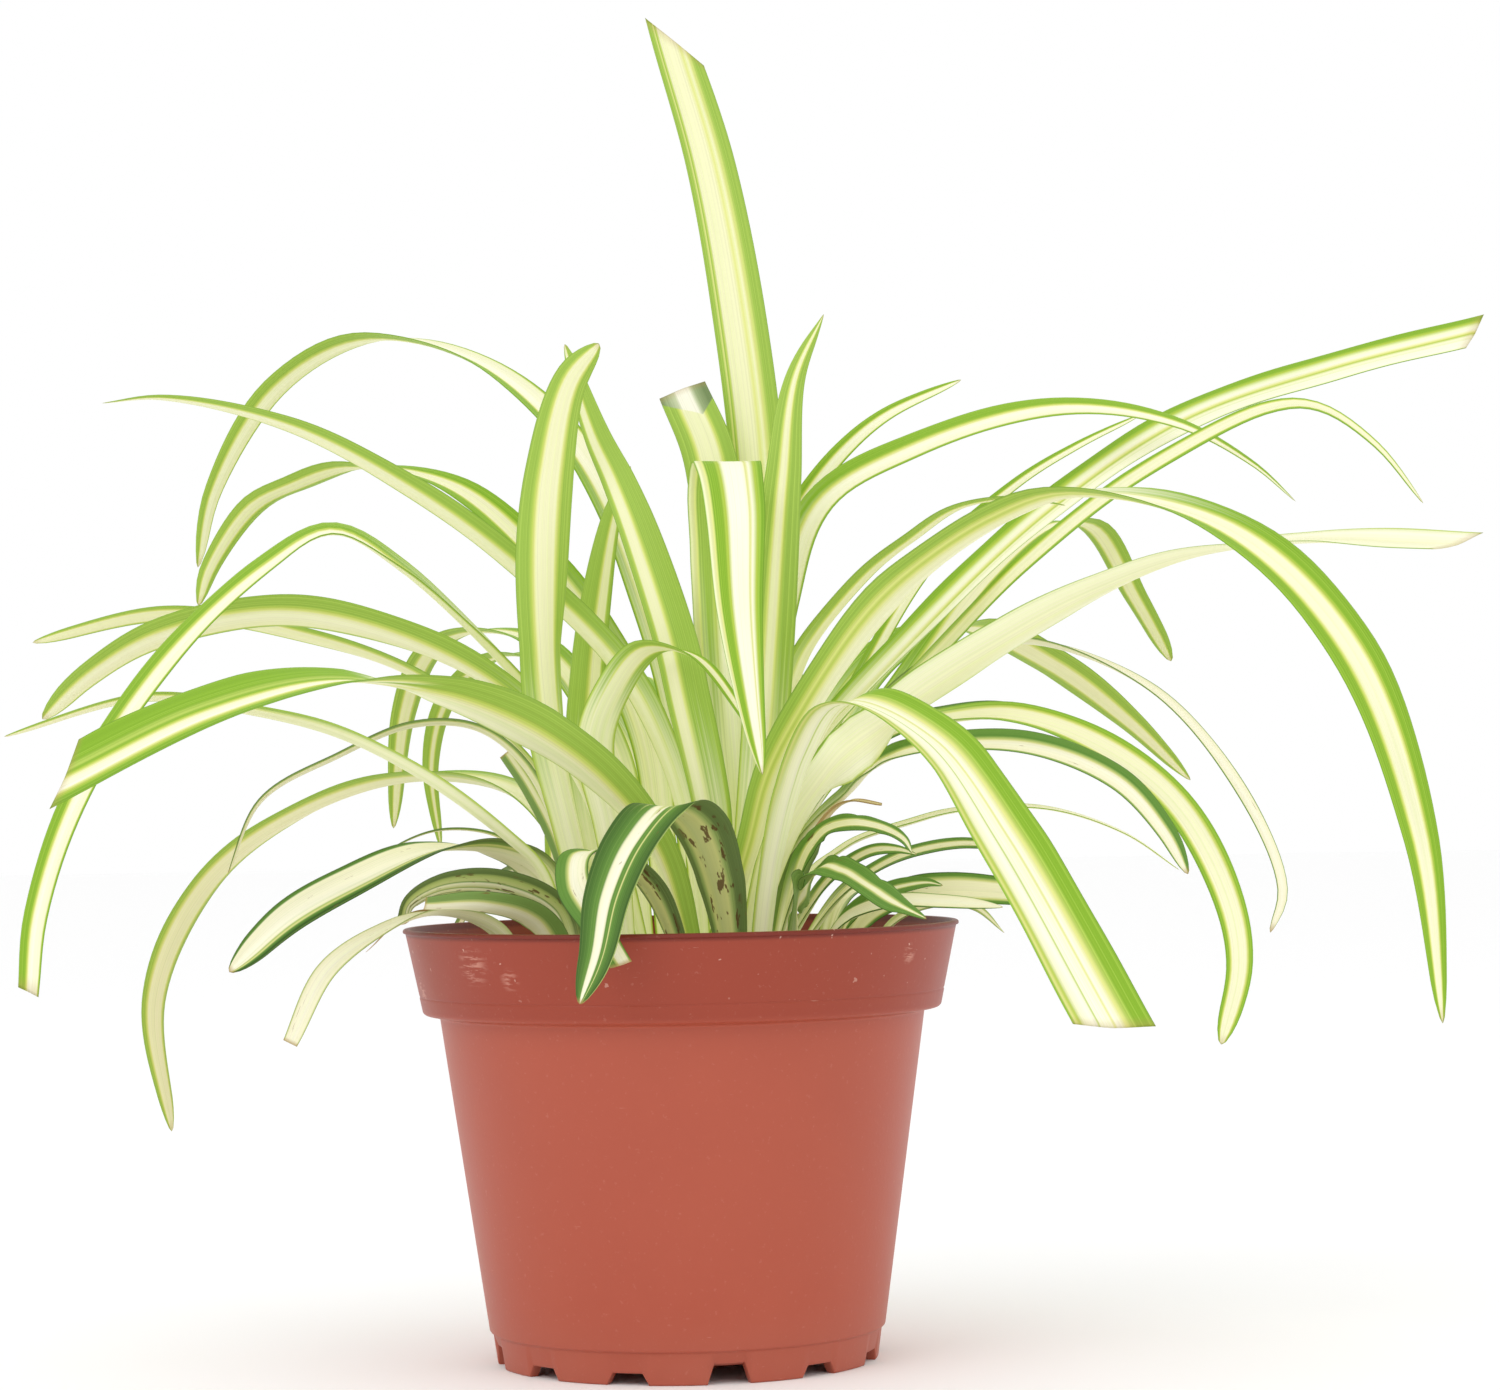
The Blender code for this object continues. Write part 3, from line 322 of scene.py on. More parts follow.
class Finish:
    """A material in the making, with one method that adds any node and a few that name common ones."""

    def __init__(self, name, roughness, specular):
        self.material = bpy.data.materials.new(name)
        self.material.use_nodes = True
        self.tree = self.material.node_tree
        self.shader = self.tree.nodes["Principled BSDF"]
        self.shader.inputs["Roughness"].default_value = roughness
        self.shader.inputs["Specular IOR Level"].default_value = specular
        self.colour = None

    def fill(self, socket, value):
        """Links a value to a socket, or writes a plain number or colour into it."""
        if isinstance(value, Value):
            self.tree.links.new(value.socket, socket)
        else:
            socket.default_value = value

    def node(self, kind, settings=None, inputs=None, output=0):
        """A node of a kind: its settings, or a ramp's stops, are set first, then its sockets are filled."""
        added = self.tree.nodes.new("ShaderNode" + kind)
        for key, setting in (settings or {}).items():
            if key == "stops":
                ramp = added.color_ramp
                while len(ramp.elements) < len(setting):
                    ramp.elements.new(1)
                for element, (place, colour) in zip(ramp.elements, setting):
                    element.position = place
                    element.color = colour
            else:
                setattr(added, key, setting)
        for key, value in (inputs or {}).items():
            self.fill(added.inputs[key], value)
        return Value(self, added.outputs[output])

    def set(self, name, value):
        """Fills one socket of the material's shader."""
        self.fill(self.shader.inputs[name], value)

    def mix(self, share, first, second, blend="MIX"):
        """Two colours mixed by a share."""
        settings = {"data_type": "RGBA", "blend_type": blend}
        return self.node("Mix", settings, {0: share, 6: first, 7: second}, 2)

    def cover(self, code, share):
        """Covers the colour so far by a share with another, given as six hex digits."""
        self.colour = self.mix(share, self.colour, linear(code))

    def rise(self, value, start, end):
        """Zero below the start, one above the end, smooth between."""
        inputs = {"Value": value, "From Min": start, "From Max": end}
        return self.node("MapRange", {"interpolation_type": "SMOOTHSTEP"}, inputs)

    def noise(self, place, scale, detail, roughness=0.5):
        """Smooth noise between nought and one, at a place given as a vector or as its parts."""
        if isinstance(place, tuple):
            place = self.node("CombineXYZ", None, dict(enumerate(place)))
        inputs = {"Vector": place, "Scale": scale, "Detail": detail, "Roughness": roughness}
        return self.node("TexNoise", {"noise_dimensions": "3D"}, inputs)

    def split(self, vector):
        """The three parts of a vector."""
        first = self.node("SeparateXYZ", None, {0: vector})
        return [Value(self, output) for output in first.socket.node.outputs]

    def ramp(self, value, stops):
        """A colour picked by a value from stops of places and colours."""
        return self.node("ValToRGB", {"stops": stops}, {"Fac": value})

    def place(self):
        """Object coordinates, in metres."""
        return self.node("TexCoord", None, None, 3)

    def bump(self, height, strength, distance):
        """Leads a height to the shader's normal."""
        inputs = {"Height": height, "Strength": strength, "Distance": distance}
        self.set("Normal", self.node("Bump", None, inputs))


# Colours of the leaves by kind: margin greens, the soft and yellow steps inside them, the pale centre, the
# base, the fine lines and the underside
TONES = {
    "light": "edge 729C2A margin 80AA2A soft AEC24C yellow D8DA8C centre ECEACE white F3F1E2 base E6EAC8 "
             "line AEC45C under CCD68A",
    "dark": "edge 34561C margin 5C8636 soft A2B468 yellow CFD08C centre ECE8CE white F3F0E2 base C4CA92 "
            "line 86A058 under B2BC86",
    "pale": "edge 7D8A55 margin A0B068 soft C9CF9C yellow DAD8A2 centre E9E5CB white EEEBDC base D3D5A8 "
            "line BAC78A under C9CDA2",
    # Greyer tones of the painted fold at a cut end: the back's own colours with painted shade on the flaps
    "grey": "edge 6F8458 under 8FA078 soft B9C2A4 white E9E8DE",
    "withered": "edge 7A5D38 margin A98C5A soft C4AF82 yellow CDBB8C centre D6C6A2 white DCCFB2 "
                "base BBAE7E line A08452 under B39E72",
}

# Stripes across a blade, from the side that its heading has on the left (0) to the other (1), or to the
# middle where both sides are alike
STRIPES = {
    "even": "0 edge .03 margin .21 margin .26 soft .3 yellow .34 centre",
    "broad": "0 edge .03 margin .3 margin .36 soft .4 yellow .44 centre",
    "thin": "0 edge .05 margin .1 margin .15 soft .2 yellow .25 centre",
    "lined": "0 edge .03 margin .06 soft .1 centre .5 white",
    "sided": "0 edge .03 margin .07 soft .11 centre .5 white .58 centre .63 yellow .68 soft .74 margin .97 "
             "margin 1 edge",
    "arch": "0 edge .03 margin .3 margin .4 line .46 margin .5 soft .54 yellow .58 centre .74 white .79 "
            "yellow .84 soft .89 margin 1 edge",
    "half": "0 edge .02 soft .04 white .3 white .335 centre .345 margin .365 margin .38 soft .55 soft .64 "
            "margin .97 margin 1 edge",
    "tall": "0 edge .02 margin .09 margin .12 yellow .14 margin .17 soft .2 centre .5 centre .58 yellow .64 "
            "centre .7 yellow .75 line .8 margin .97 margin 1 edge",
    "hanging": "0 margin .02 base .11 yellow .14 margin .27 margin .34 soft .41 white .7 white .74 yellow "
               ".78 white .86 soft .91 margin 1 edge",
    "leaning": "0 edge .03 margin .1 margin .14 soft .18 centre .38 centre .42 yellow .47 soft .53 margin "
               ".97 margin 1 edge",
    "front": "0 edge .02 margin .05 yellow .1 soft .16 centre .26 white .31 white .335 line .36 white .5 "
             "white .53 yellow .56 white .62 centre .67 yellow .73 line .8 margin .97 margin 1 edge",
    "bold": "0 soft .012 edge .34 margin .38 centre .53 white .57 centre .6 margin .68 margin .69 yellow .71 "
            "yellow .72 margin .98 edge 1 soft",
    "drawn": "0 edge .1 margin .13 centre .6 white .7 centre .74 soft .8 yellow .84 margin .92 edge 1 edge",
    "many": "0 edge .09 edge .12 centre .2 base .24 edge .27 centre .4 white .43 margin .46 base .6 white "
            ".64 margin .67 base .8 soft .86 edge 1 edge",
    "faint": "0 margin .02 base .08 white .5 centre .8 white .92 base .97 soft 1 margin",
    "green": "0 edge .3 margin .46 line .5 soft",
    "base": "0 edge .03 soft .08 base .3 white .42 base .5 white .62 base .75 white .9 base .96 soft 1 edge",
    "rising": "0 edge .03 soft .08 base .2 white .42 base .5 centre .58 yellow .64 soft .7 margin .95 margin "
              "1 edge",
    "shaded": "0 edge .03 margin .13 margin .18 soft .24 yellow .3 soft .34 yellow .42 centre .6 white .93 "
              "centre .97 soft 1 soft",
    "rimmed": "0 edge .03 margin .08 soft .14 base .3 white .5 centre .72 white .86 base .91 soft .95 margin "
              "1 edge",
    "worn": "0 edge .1 edge .17 line .25 yellow .4 base .62 yellow .7 line .78 edge 1 edge",
    "streaked": "0 edge .02 base .08 white .28 white .33 base .42 centre .5 soft .55 yellow .63 white .72 "
                "base .8 soft .88 margin .98 margin 1 edge",
}

# How the leaves are marked, by their names without leaf_: their stripes, how far along they come in, and the
# stripes before that where they aren't the plain base ones
MARKS = {
    "left_front_arch": ("arch", 0.55, 0.61, "rising"),
    "left_long": ("sided mirrored", 0.2, 0.5),
    "left_tall_back": ("sided", 0.1, 0.5),
    "left_pointed right_dark_arch": ("sided", 0.1, 0.4),
    "left_middle_back": ("even", 0.1, 0.5),
    "left_broad": ("sided", 0.05, 0.4),
    "left_slim right_falling": ("thin", 0.1, 0.5),
    "left_slim_low": ("thin", 0.3, 0.7),
    "left_thin_dark left_falling right_trimmed": ("thin", 0.1, 0.4),
    "left_dark": ("drawn", 0.05, 0.3),
    "left_over_rim right_long_thin right_thread": ("lined", 0.1, 0.4),
    "left_rim_spotted": ("many", 0, 0.3),
    "left_rim_striped": ("sided", 0, 0.2),
    "left_far left_upright right_far_hanging right_far_broad": ("even", 0.2, 0.5),
    "left_far_slim": ("broad", 0.2, 0.5),
    "left_stub": ("broad", 0.1, 0.3),
    "tall": ("tall", 0.1, 0.45),
    "centre_pointed": ("broad", 0.15, 0.5),
    "centre_leaning": ("leaning", 0.1, 0.4, "rimmed"),
    "centre_hidden": ("leaning mirrored", 0.2, 0.5),
    "centre_folded": ("even", 0.2, 0.6),
    "centre_hanging": ("hanging", 0.15, 0.45),
    "centre_small_arch": ("even", 0.45, 0.65),
    "front_dark": ("bold", 0.42, 0.5, "worn"),
    "front_dark_behind": ("sided mirrored", 0.4, 0.55, "worn"),
    "right_broad": ("streaked", 0.15, 0.4, "rimmed"),
    "right_under": ("thin", 0.2, 0.5),
    "right_high_arch right_high_slim right_thin_back": ("sided", 0.2, 0.5),
    "right_big_arch": ("even", 0.42, 0.6, "shaded"),
    "right_companion": ("even", 0.25, 0.6, "rimmed"),
    "right_pale": ("faint", 0, 0.2),
    "right_front_broad": ("front", 0.1, 0.35),
    "right_dark_upright": ("green", 0, 0.2),
    "right_dark_drooping right_rim_dark": ("broad", 0, 0.3),
    "right_rim_pale": ("thin", 0, 0.3),
    "right_rim_low": ("lined", 0, 0.3),
}
MARKED = {name: marks for names, marks in MARKS.items() for name in names.split()}

# Old leaves with brown spots: how far along them the spots reach, and the noise that they begin at
SPOTTED = {
    "front_dark": (0.46, 0.57),
    "front_dark_behind": (0.5, 0.57),
    "left_rim_spotted": (1.0, 0.63),
    "left_stub": (0.6, 0.6),
    "right_small_dark": (0.8, 0.66),
}

# A cut end painted as if folded over: the blade stays flat there, and beyond a V line it takes a greyer tone,
# the back's own colour with painted shade on the flaps. Where across and along it the painted fold is lowest,
# and how fast it rises to the sides. Then the stripes of the back
PAINTED_FOLDS = {"centre_folded": (0.66, 0.94, 0.07)}
PAINTED_FOLD_BACK = "0 edge .1 under .3 soft .36 white .6 white .66 soft .72 under .9 edge 1 edge"

# Painted glow: the leaves give off light of their own, standing in for light that comes through the blades:
# its strength, its tint, and the share of a leaf's colour that stays on its face, lowered to leave room for
# the glow
GLOW = 0.42
GLOW_TINT = (1.0, 0.97, 0.62, 1.0)
FACE_SHARE = 0.78


def pairs(written):
    """The words of a line, two by two."""
    words = written.split()
    return zip(words[::2], words[1::2])


def stripe_stops(written, tones, mirrored=False):
    """Ramp stops from a line of places and tones in turn, and the same again from the middle back where the
    line ends there."""
    stops = [(float(place), linear(tones[tone])) for place, tone in pairs(written)]
    if stops[-1][0] < 1:
        stops += [(1 - place, colour) for place, colour in reversed(stops) if place < 0.5]
    if mirrored:
        stops = [(1 - place, colour) for place, colour in reversed(stops)]
    return stops


def leaf_finish(name, kind, length, draw):
    """Stripes that run along the blade and fade into a pale base, with fine veins, spots on old leaves, a
    dry tip, a paler underside, a painted fold with painted shade at one cut end, and a painted glow that
    stands in for light coming through the blade."""
    finish = Finish(name + "_finish", 0.5, 0.22)
    tones = dict(pairs(TONES[kind]))
    name = name.removeprefix("leaf_")
    pattern, start, end, *early = MARKED.get(name, ("even", 0.1, 0.45))
    stops = stripe_stops(STRIPES[pattern.split()[0]], tones, pattern.endswith("mirrored"))
    early_stops = stripe_stops(STRIPES[early[0] if early else "base"], tones)
    u, t = finish.split(finish.node("UVMap", {"uv_map": "blade"}))[:2]
    along = t * (length / 0.1)
    under = finish.node("Attribute", {"attribute_name": "under"}, None, 2)
    seed = draw.uniform(0, 50)

    # The stripes wander slowly, and veins of two sizes run along them
    wander = finish.noise((seed, along * 0.6), 1.0, 1) - 0.5
    ragged = finish.noise((u * 14.0 + seed, along * 0.5), 1.0, 2) - 0.5
    shifted = u + wander * 0.07 + ragged * 0.025
    veins = finish.noise((u * 46.0 + seed, along * 0.12, seed), 1.0, 2, 0.6)
    bands = finish.noise((u * 11.0 + seed, along * 0.15), 1.0, 2, 0.6)
    marked = finish.ramp(shifted, stops)
    plain = finish.ramp(shifted, early_stops)
    grown = finish.rise(t + (bands - 0.5) * 0.35, start, end)
    finish.colour = finish.mix(grown, plain, marked)
    finish.cover(tones["line"], finish.rise(veins, 0.52, 0.66) * 0.3)
    finish.cover(tones["soft"], finish.rise(bands, 0.56, 0.74) * 0.14)
    cloud = finish.noise((u * 2.0, along * 1.5, seed), 1.2, 2)
    finish.cover(tones["edge"], finish.rise(cloud, 0.45, 0.75) * 0.1)
    finish.cover(tones["under"], under * 0.2)

    if name in SPOTTED:
        reach, begin = SPOTTED[name]
        marks = finish.noise((u * 2.6, along * 7.0, seed), 2.2, 3, 0.6)
        inside = finish.rise(0.5 - abs(u - 0.5), 0.06, 0.22) * (1 - finish.rise(t, reach - 0.05, reach))
        finish.cover("55321E", finish.rise(marks, begin, begin + 0.04) * inside * 0.85)
    # Painted fold: beyond a V line near the end, the greyer back with painted shade is laid over the stripes
    if name in PAINTED_FOLDS:
        lowest, begin, rise = PAINTED_FOLDS[name]
        back = finish.ramp(u, stripe_stops(PAINTED_FOLD_BACK, dict(pairs(TONES["grey"]))))
        inside = finish.rise(t - abs(u - lowest) * rise, begin, begin + 0.003)
        finish.colour = finish.mix(inside, finish.colour, back)
    if kind != "light":
        flecks = finish.noise((u * 5.0, along * 7.0, seed), 2.2, 3, 0.6)
        finish.cover("7A5A34", finish.rise(flecks, 0.68, 0.74) * 0.7)
    finish.cover("A68A55", finish.rise(t, 0.985, 1.0) * (0.35 if kind == "light" else 0.75))
    # The face keeps a share of the colour, lowered to leave room for the painted glow, and varied along the
    # veins
    shade = FACE_SHARE * (1 + (veins - 0.5) * 0.55)
    colour = finish.node("VectorMath", {"operation": "SCALE"}, {0: finish.colour, "Scale": shade})
    finish.set("Base Color", colour)
    # Painted glow: the leaf gives off light in a yellower copy of its own colour, standing in for light that
    # comes through the blade
    finish.set("Emission Color", finish.mix(1.0, colour, GLOW_TINT, "MULTIPLY"))
    finish.set("Emission Strength", GLOW)
    finish.set("Roughness", 0.42 + cloud * 0.2)
    finish.bump(veins * 0.7 + bands * 0.6, 0.3, 0.0003)
    return finish.material


# Worn places on the collar, each with its reach
SCUFFS = [
    ((-46.5, -43.5, 94.0), 6.0),
    ((-38.0, -51.0, 91.0), 3.5),
    ((-60.0, -17.0, 88.0), 4.0),
    ((52.0, -36.0, 95.0), 3.0),
]


def pot_finish():
    """Satin terracotta plastic, darker from the collar's foot up and darker still at the lip, with light
    dust, scuffs and nicks.
    """
    finish = Finish("pot_plastic", 0.42, 0.4)
    place = finish.place()
    height = finish.split(place)[2]
    clouds = finish.noise(place, 22.0, 4, 0.6)
    grain = finish.noise(place, 900.0, 3, 0.6)
    finish.colour = finish.mix(clouds, linear("A84B36"), linear("B2543D"))
    # Darker from the collar's foot up, and darker still from just below the collar's top over the lip
    finish.cover("983B25", finish.rise(height, COLLAR_FOOT - 1.5 * MM, COLLAR_FOOT + MM))
    finish.cover("742210", finish.rise(height, COLLAR_TOP - MM, COLLAR_TOP))
    finish.cover("DDA08E", finish.rise(grain, 0.62, 0.75) * 0.12)
    stretched = finish.node("Mapping", None, {"Vector": place, "Scale": (1.0, 1.0, 6.0)})
    scratches = finish.noise(stretched, 160.0, 3, 0.7)
    finish.cover("D8A392", finish.rise(scratches, 0.7, 0.78) * 0.3)
    nicks = finish.noise(place, 420.0, 2, 0.6)
    finish.cover("E4B9A8", finish.rise(nicks, 0.71, 0.74) * finish.rise(height, 0.08, 0.1) * 0.7)
    for centre, reach in SCUFFS:
        inputs = {0: place, 1: tuple(value * MM for value in centre)}
        away = finish.node("VectorMath", {"operation": "DISTANCE"}, inputs, 1)
        worn = (1 - finish.rise(away, 0.2 * reach * MM, reach * MM)) * finish.rise(scratches, 0.46, 0.6)
        finish.cover("D79A88", worn * 0.6)
    foot_dust = (1 - finish.rise(height, 0.0, 0.02)) * clouds
    finish.cover("A9705E", foot_dust * 0.35)
    finish.set("Base Color", finish.colour)
    finish.set("Roughness", 0.36 + clouds * 0.14)
    finish.bump(grain, 0.12, 0.0002)
    return finish.material


# The soil's colours, each after its place in the noise
SOIL_COLOURS = ".3 1D130D .52 33231A .66 4E3727 .8 6B5038"


def soil_finish():
    """Dark damp crumbs from near black to mid brown."""
    finish = Finish("soil_crumbs", 0.9, 0.25)
    place = finish.place()
    coarse = finish.noise(place, 260.0, 4, 0.65)
    stops = [(float(place), linear(code)) for place, code in pairs(SOIL_COLOURS)]
    finish.set("Base Color", finish.ramp(coarse, stops))
    finish.bump(finish.noise(place, 1400.0, 3, 0.7), 0.6, 0.0006)
    return finish.material


def crown_finish():
    """Packed leaf bases: pale green to straw, browner low down."""
    finish = Finish("crown_bases", 0.6, 0.3)
    place = finish.place()
    height = finish.split(place)[2]
    streaks = finish.noise(place, 420.0, 3, 0.6)
    finish.colour = finish.mix(finish.rise(streaks, 0.4, 0.62), linear("CFDDA0"), linear("A4BC66"))
    low = 1 - finish.rise(height, SOIL_TOP - MM, SOIL_TOP + 3.5 * MM)
    finish.cover("7A623F", low * 0.8)
    finish.set("Base Color", finish.colour)
    finish.bump(streaks, 0.5, 0.0005)
    return finish.material


def put(name, data):
    """A new object in the scene."""
    thing = bpy.data.objects.new(name, data)
    bpy.context.scene.collection.objects.link(thing)
    return thing


def new_piece(name, vertices, faces, material, slot, replaced=(), smooth=True):
    """A piece that rides on the plant's one body and stands for its solids."""
    mesh = bpy.data.meshes.new(name)
    mesh.from_pydata(vertices.tolist(), [], faces)
    mesh.materials.append(material)
    mesh.polygons.foreach_set("use_smooth", np.full(len(mesh.polygons), smooth))
    piece = put(name, mesh)
    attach(piece, "root")
    if replaced:
        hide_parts(*replaced)
    return piece


def grid_faces(rows, columns, closed=False):
    """Quads of a grid of points, joined round its columns where it is closed."""
    row = np.arange(rows - 1)[:, None]
    column = np.arange(columns if closed else columns - 1)[None, :]
    after = (column + 1) % columns
    near = row * columns
    far = near + columns
    return np.stack([near + column, far + column, far + after, near + after], axis=-1).reshape(-1, 4)


def turned(points, start, end):
    """Vertices and faces of a closed solid: rings of points from its upper middle outwards and down, and the
    two middles that its first and last rings close to."""
    rings, steps = points.shape[:2]
    here = np.arange(steps)
    after = (here + 1) % steps
    middle = rings * steps
    last = middle - steps
    vertices = np.vstack([points.reshape(-1, 3), [start, end]])
    faces = grid_faces(rings, steps, True).tolist()
    faces += np.stack([np.full(steps, middle), here, after], axis=1).tolist()
    faces += np.stack([np.full(steps, middle + 1), last + after, last + here], axis=1).tolist()
    return vertices, faces


def seat_height(x, y):
    """The height of the crown's dome, or of the soil outside it."""
    inside = 1 - (x / CROWN_LONG) ** 2 - (y / CROWN_SHORT) ** 2
    return SOIL_TOP + CROWN_RISE * np.sqrt(np.maximum(inside, 0))


def in_place(point):
    """A point as seen from the eye, moved along its line of sight to its own depth."""
    across, up, depth = np.array(point) * MM
    reach = (depth - EYE[1]) / -EYE[1]
    return np.array([EYE[0] + (across - EYE[0]) * reach, depth, EYE[2] + (up - EYE[2]) * reach])


def smooth_path(knots, shares):
    """A centripetal Catmull-Rom curve through the knots, at the given shares of its length: each four knots
    are mixed two by two, then again, and once more, by where the time lies between theirs."""
    knots = np.array(knots)
    points = np.vstack([2 * knots[0] - knots[1], knots, 2 * knots[-1] - knots[-2]])
    pieces = []
    for first in range(len(points) - 3):
        mixed = points[first:first + 4]
        steps = np.linalg.norm(np.diff(mixed, axis=0), axis=1) ** 0.5
        times = np.concatenate([[0], np.cumsum(steps)])
        t = np.linspace(times[1], times[2], 40, endpoint=False)[:, None]
        for starts, ends in (((0, 1, 2), (1, 2, 3)), ((0, 1), (2, 3)), ((1,), (2,))):
            mixed = [((b - t) * low + (t - a) * high) / (b - a)
                     for a, b, low, high in zip(times[[*starts]], times[[*ends]], mixed, mixed[1:])]
        pieces += mixed
    line = np.vstack(pieces + [knots[-1:]])
    gone = np.concatenate([[0], np.cumsum(np.linalg.norm(np.diff(line, axis=0), axis=1))])
    length = gone[-1]
    path = np.stack([np.interp(shares * length, gone, line[:, axis]) for axis in range(3)], axis=1)
    return path, length


def unit(vectors):
    """Vectors of length one."""
    return vectors / np.linalg.norm(vectors, axis=-1, keepdims=True)


def blade_surface(row, shares, u, draw):
    """The blade's middle surface over shares along it and places u across it, from -1 to 1: the path, plus
    a rounded V section that widens, tapers, flattens where the path bends sharply and is turned by the roll,
    with a slight wave at the margins."""
    width, tip, slant, heading, rolls, root, points = row[1:]
    root_x, root_y = np.array(root) * MM
    start = (root_x, root_y, seat_height(root_x, root_y) - ROOT_SINK)
    path, length = smooth_path([start] + [in_place(p) for p in points], shares)
    t = shares
    along = unit(np.gradient(path, t, axis=0))
    turn = np.radians(heading)
    level = np.array([-np.sin(turn), np.cos(turn), 0])
    side = unit(level - (along @ level)[:, None] * along)
    up = np.cross(along, side)
    roll = np.radians(np.interp(t, np.linspace(0, 1, len(rolls)), rolls))[:, None]
    side, up = side * np.cos(roll) + up * np.sin(roll), up * np.cos(roll) - side * np.sin(roll)
    widening = BASE_WIDTH + (1 - BASE_WIDTH) * np.sin(np.pi / 2 * np.minimum(t / WIDENING_END, 1))
    wide = width * MM * widening * (1 - (1 - tip) * t ** TAPER_POWER)
    if tip < POINTED_BELOW:
        point = np.clip((t - 1) * length / POINT_LENGTH + 1, 0, 1)
        wide = wide * np.sqrt(np.maximum(1 - point ** 2, 0.002))
    fold = np.radians(BASE_FOLD - (BASE_FOLD - TIP_FOLD) * np.minimum(t / FOLD_END, 1))
    turning = np.linalg.norm(np.gradient(along, axis=0), axis=1)
    bend = turning / np.linalg.norm(np.gradient(path, axis=0), axis=1)
    fold = fold / (1 + (bend * wide) ** 2)
    across = (wide * np.cos(fold) / 2)[:, None] * u
    valley = np.sqrt(u ** 2 + VALLEY_ROUNDING) - VALLEY_DROP
    lift = (wide * np.sin(fold) / 2)[:, None] * valley
    phases = draw.uniform(0, 2 * np.pi, 4)
    for scale, phase, margin in zip(RIPPLE_SCALES, phases, (u, -u)):
        wave = np.sin((t * length)[:, None] / scale + phase) * np.maximum(margin, 0) ** 3
        lift = lift + RIPPLE_HEIGHT * wide[:, None] * wave
    slanting = np.clip((t - SLANT_START) / (1 - SLANT_START), 0, 1) ** 2
    shear = (slant * MM / 2 * slanting)[:, None] * u
    surface = (path[:, None] + across[..., None] * side[:, None] + lift[..., None] * up[:, None]
               + shear[..., None] * along[:, None])
    return surface, wide, length


def blade_solid(row, draw):
    """A blade with two faces that meet at its edges: the middle surface moved to either side along its
    normal by half a thickness that falls to nothing at the margins and ends."""
    shares = np.concatenate([np.linspace(0, 0.996, BLADE_ROWS), [1.0]])
    u = np.sin(np.pi / 2 * np.linspace(-1, 1, BLADE_COLUMNS))
    middle, wide, length = blade_surface(row, shares, u, draw)
    rows, columns = middle.shape[:2]
    normal = unit(np.cross(np.gradient(middle, axis=0), np.gradient(middle, axis=1)))
    thick = np.minimum(wide / THICK_FROM_WIDTH, 1)[:, None] ** 0.5
    half = HALF_THICKNESS * np.sqrt(np.maximum(1 - u ** 4, 0)) * thick
    half[0] = 0
    half[-1] = 0
    half[:, 0] = 0
    half[:, -1] = 0
    upper = middle + normal * half[..., None]
    lower = middle - normal * half[..., None]
    inner = np.zeros((rows, columns), dtype=bool)
    inner[1:-1, 1:-1] = True
    upper_index = np.arange(rows * columns).reshape(rows, columns)
    lower_index = upper_index.copy()
    lower_index[inner] = rows * columns + np.arange(inner.sum())
    vertices = np.vstack([upper.reshape(-1, 3), lower[inner]])
    quads = grid_faces(rows, columns)
    faces = np.vstack([quads, lower_index.reshape(-1)[quads][:, ::-1]])
    uv = np.stack(np.meshgrid((u + 1) / 2, shares), axis=-1)
    uv = np.vstack([uv.reshape(-1, 2), uv[inner]])
    under = np.concatenate([np.zeros(rows * columns), np.ones(inner.sum())])
    return vertices, faces, uv, under, length


def make_leaf(name, row, seed, slot=None):
    """One leaf: a fine blade in the place of the solid one."""
    draw = np.random.default_rng(seed)
    vertices, faces, uv, under, length = blade_solid(row, draw)
    material = leaf_finish(name, row[0], length, draw)
    replaced = () if slot else (name,)
    piece = new_piece(name + "_blade", vertices, faces.tolist(), material, slot or name, replaced)
    piece.data.uv_layers.new(name="blade").data.foreach_set("uv", uv[faces].reshape(-1))
    piece.data.attributes.new("under", "FLOAT", "POINT").data.foreach_set("value", under)


def full_turn(steps):
    """Angles at even steps round a full turn."""
    return np.arange(steps) * 2 * np.pi / steps


def collar_radius(height):
    """The collar's outer radius at a height."""
    return np.interp(height, [COLLAR_FOOT, COLLAR_TOP], [COLLAR_FOOT_RADIUS, COLLAR_TOP_RADIUS])


def rounded(profile, radius):
    """A profile with each corner replaced by a short arc, no longer than two fifths of a side."""
    profile = np.array(profile)
    made = [profile[:1]]
    bend = np.linspace(0, 1, 5)[:, None]
    for before, corner, after in zip(profile, profile[1:], profile[2:]):
        back = before - corner
        ahead = after - corner
        start = corner + back * min(0.4, radius / np.linalg.norm(back))
        end = corner + ahead * min(0.4, radius / np.linalg.norm(ahead))
        made.append((1 - bend) ** 2 * start + 2 * bend * (1 - bend) * corner + bend ** 2 * end)
    made.append(profile[-1:])
    return np.vstack(made)


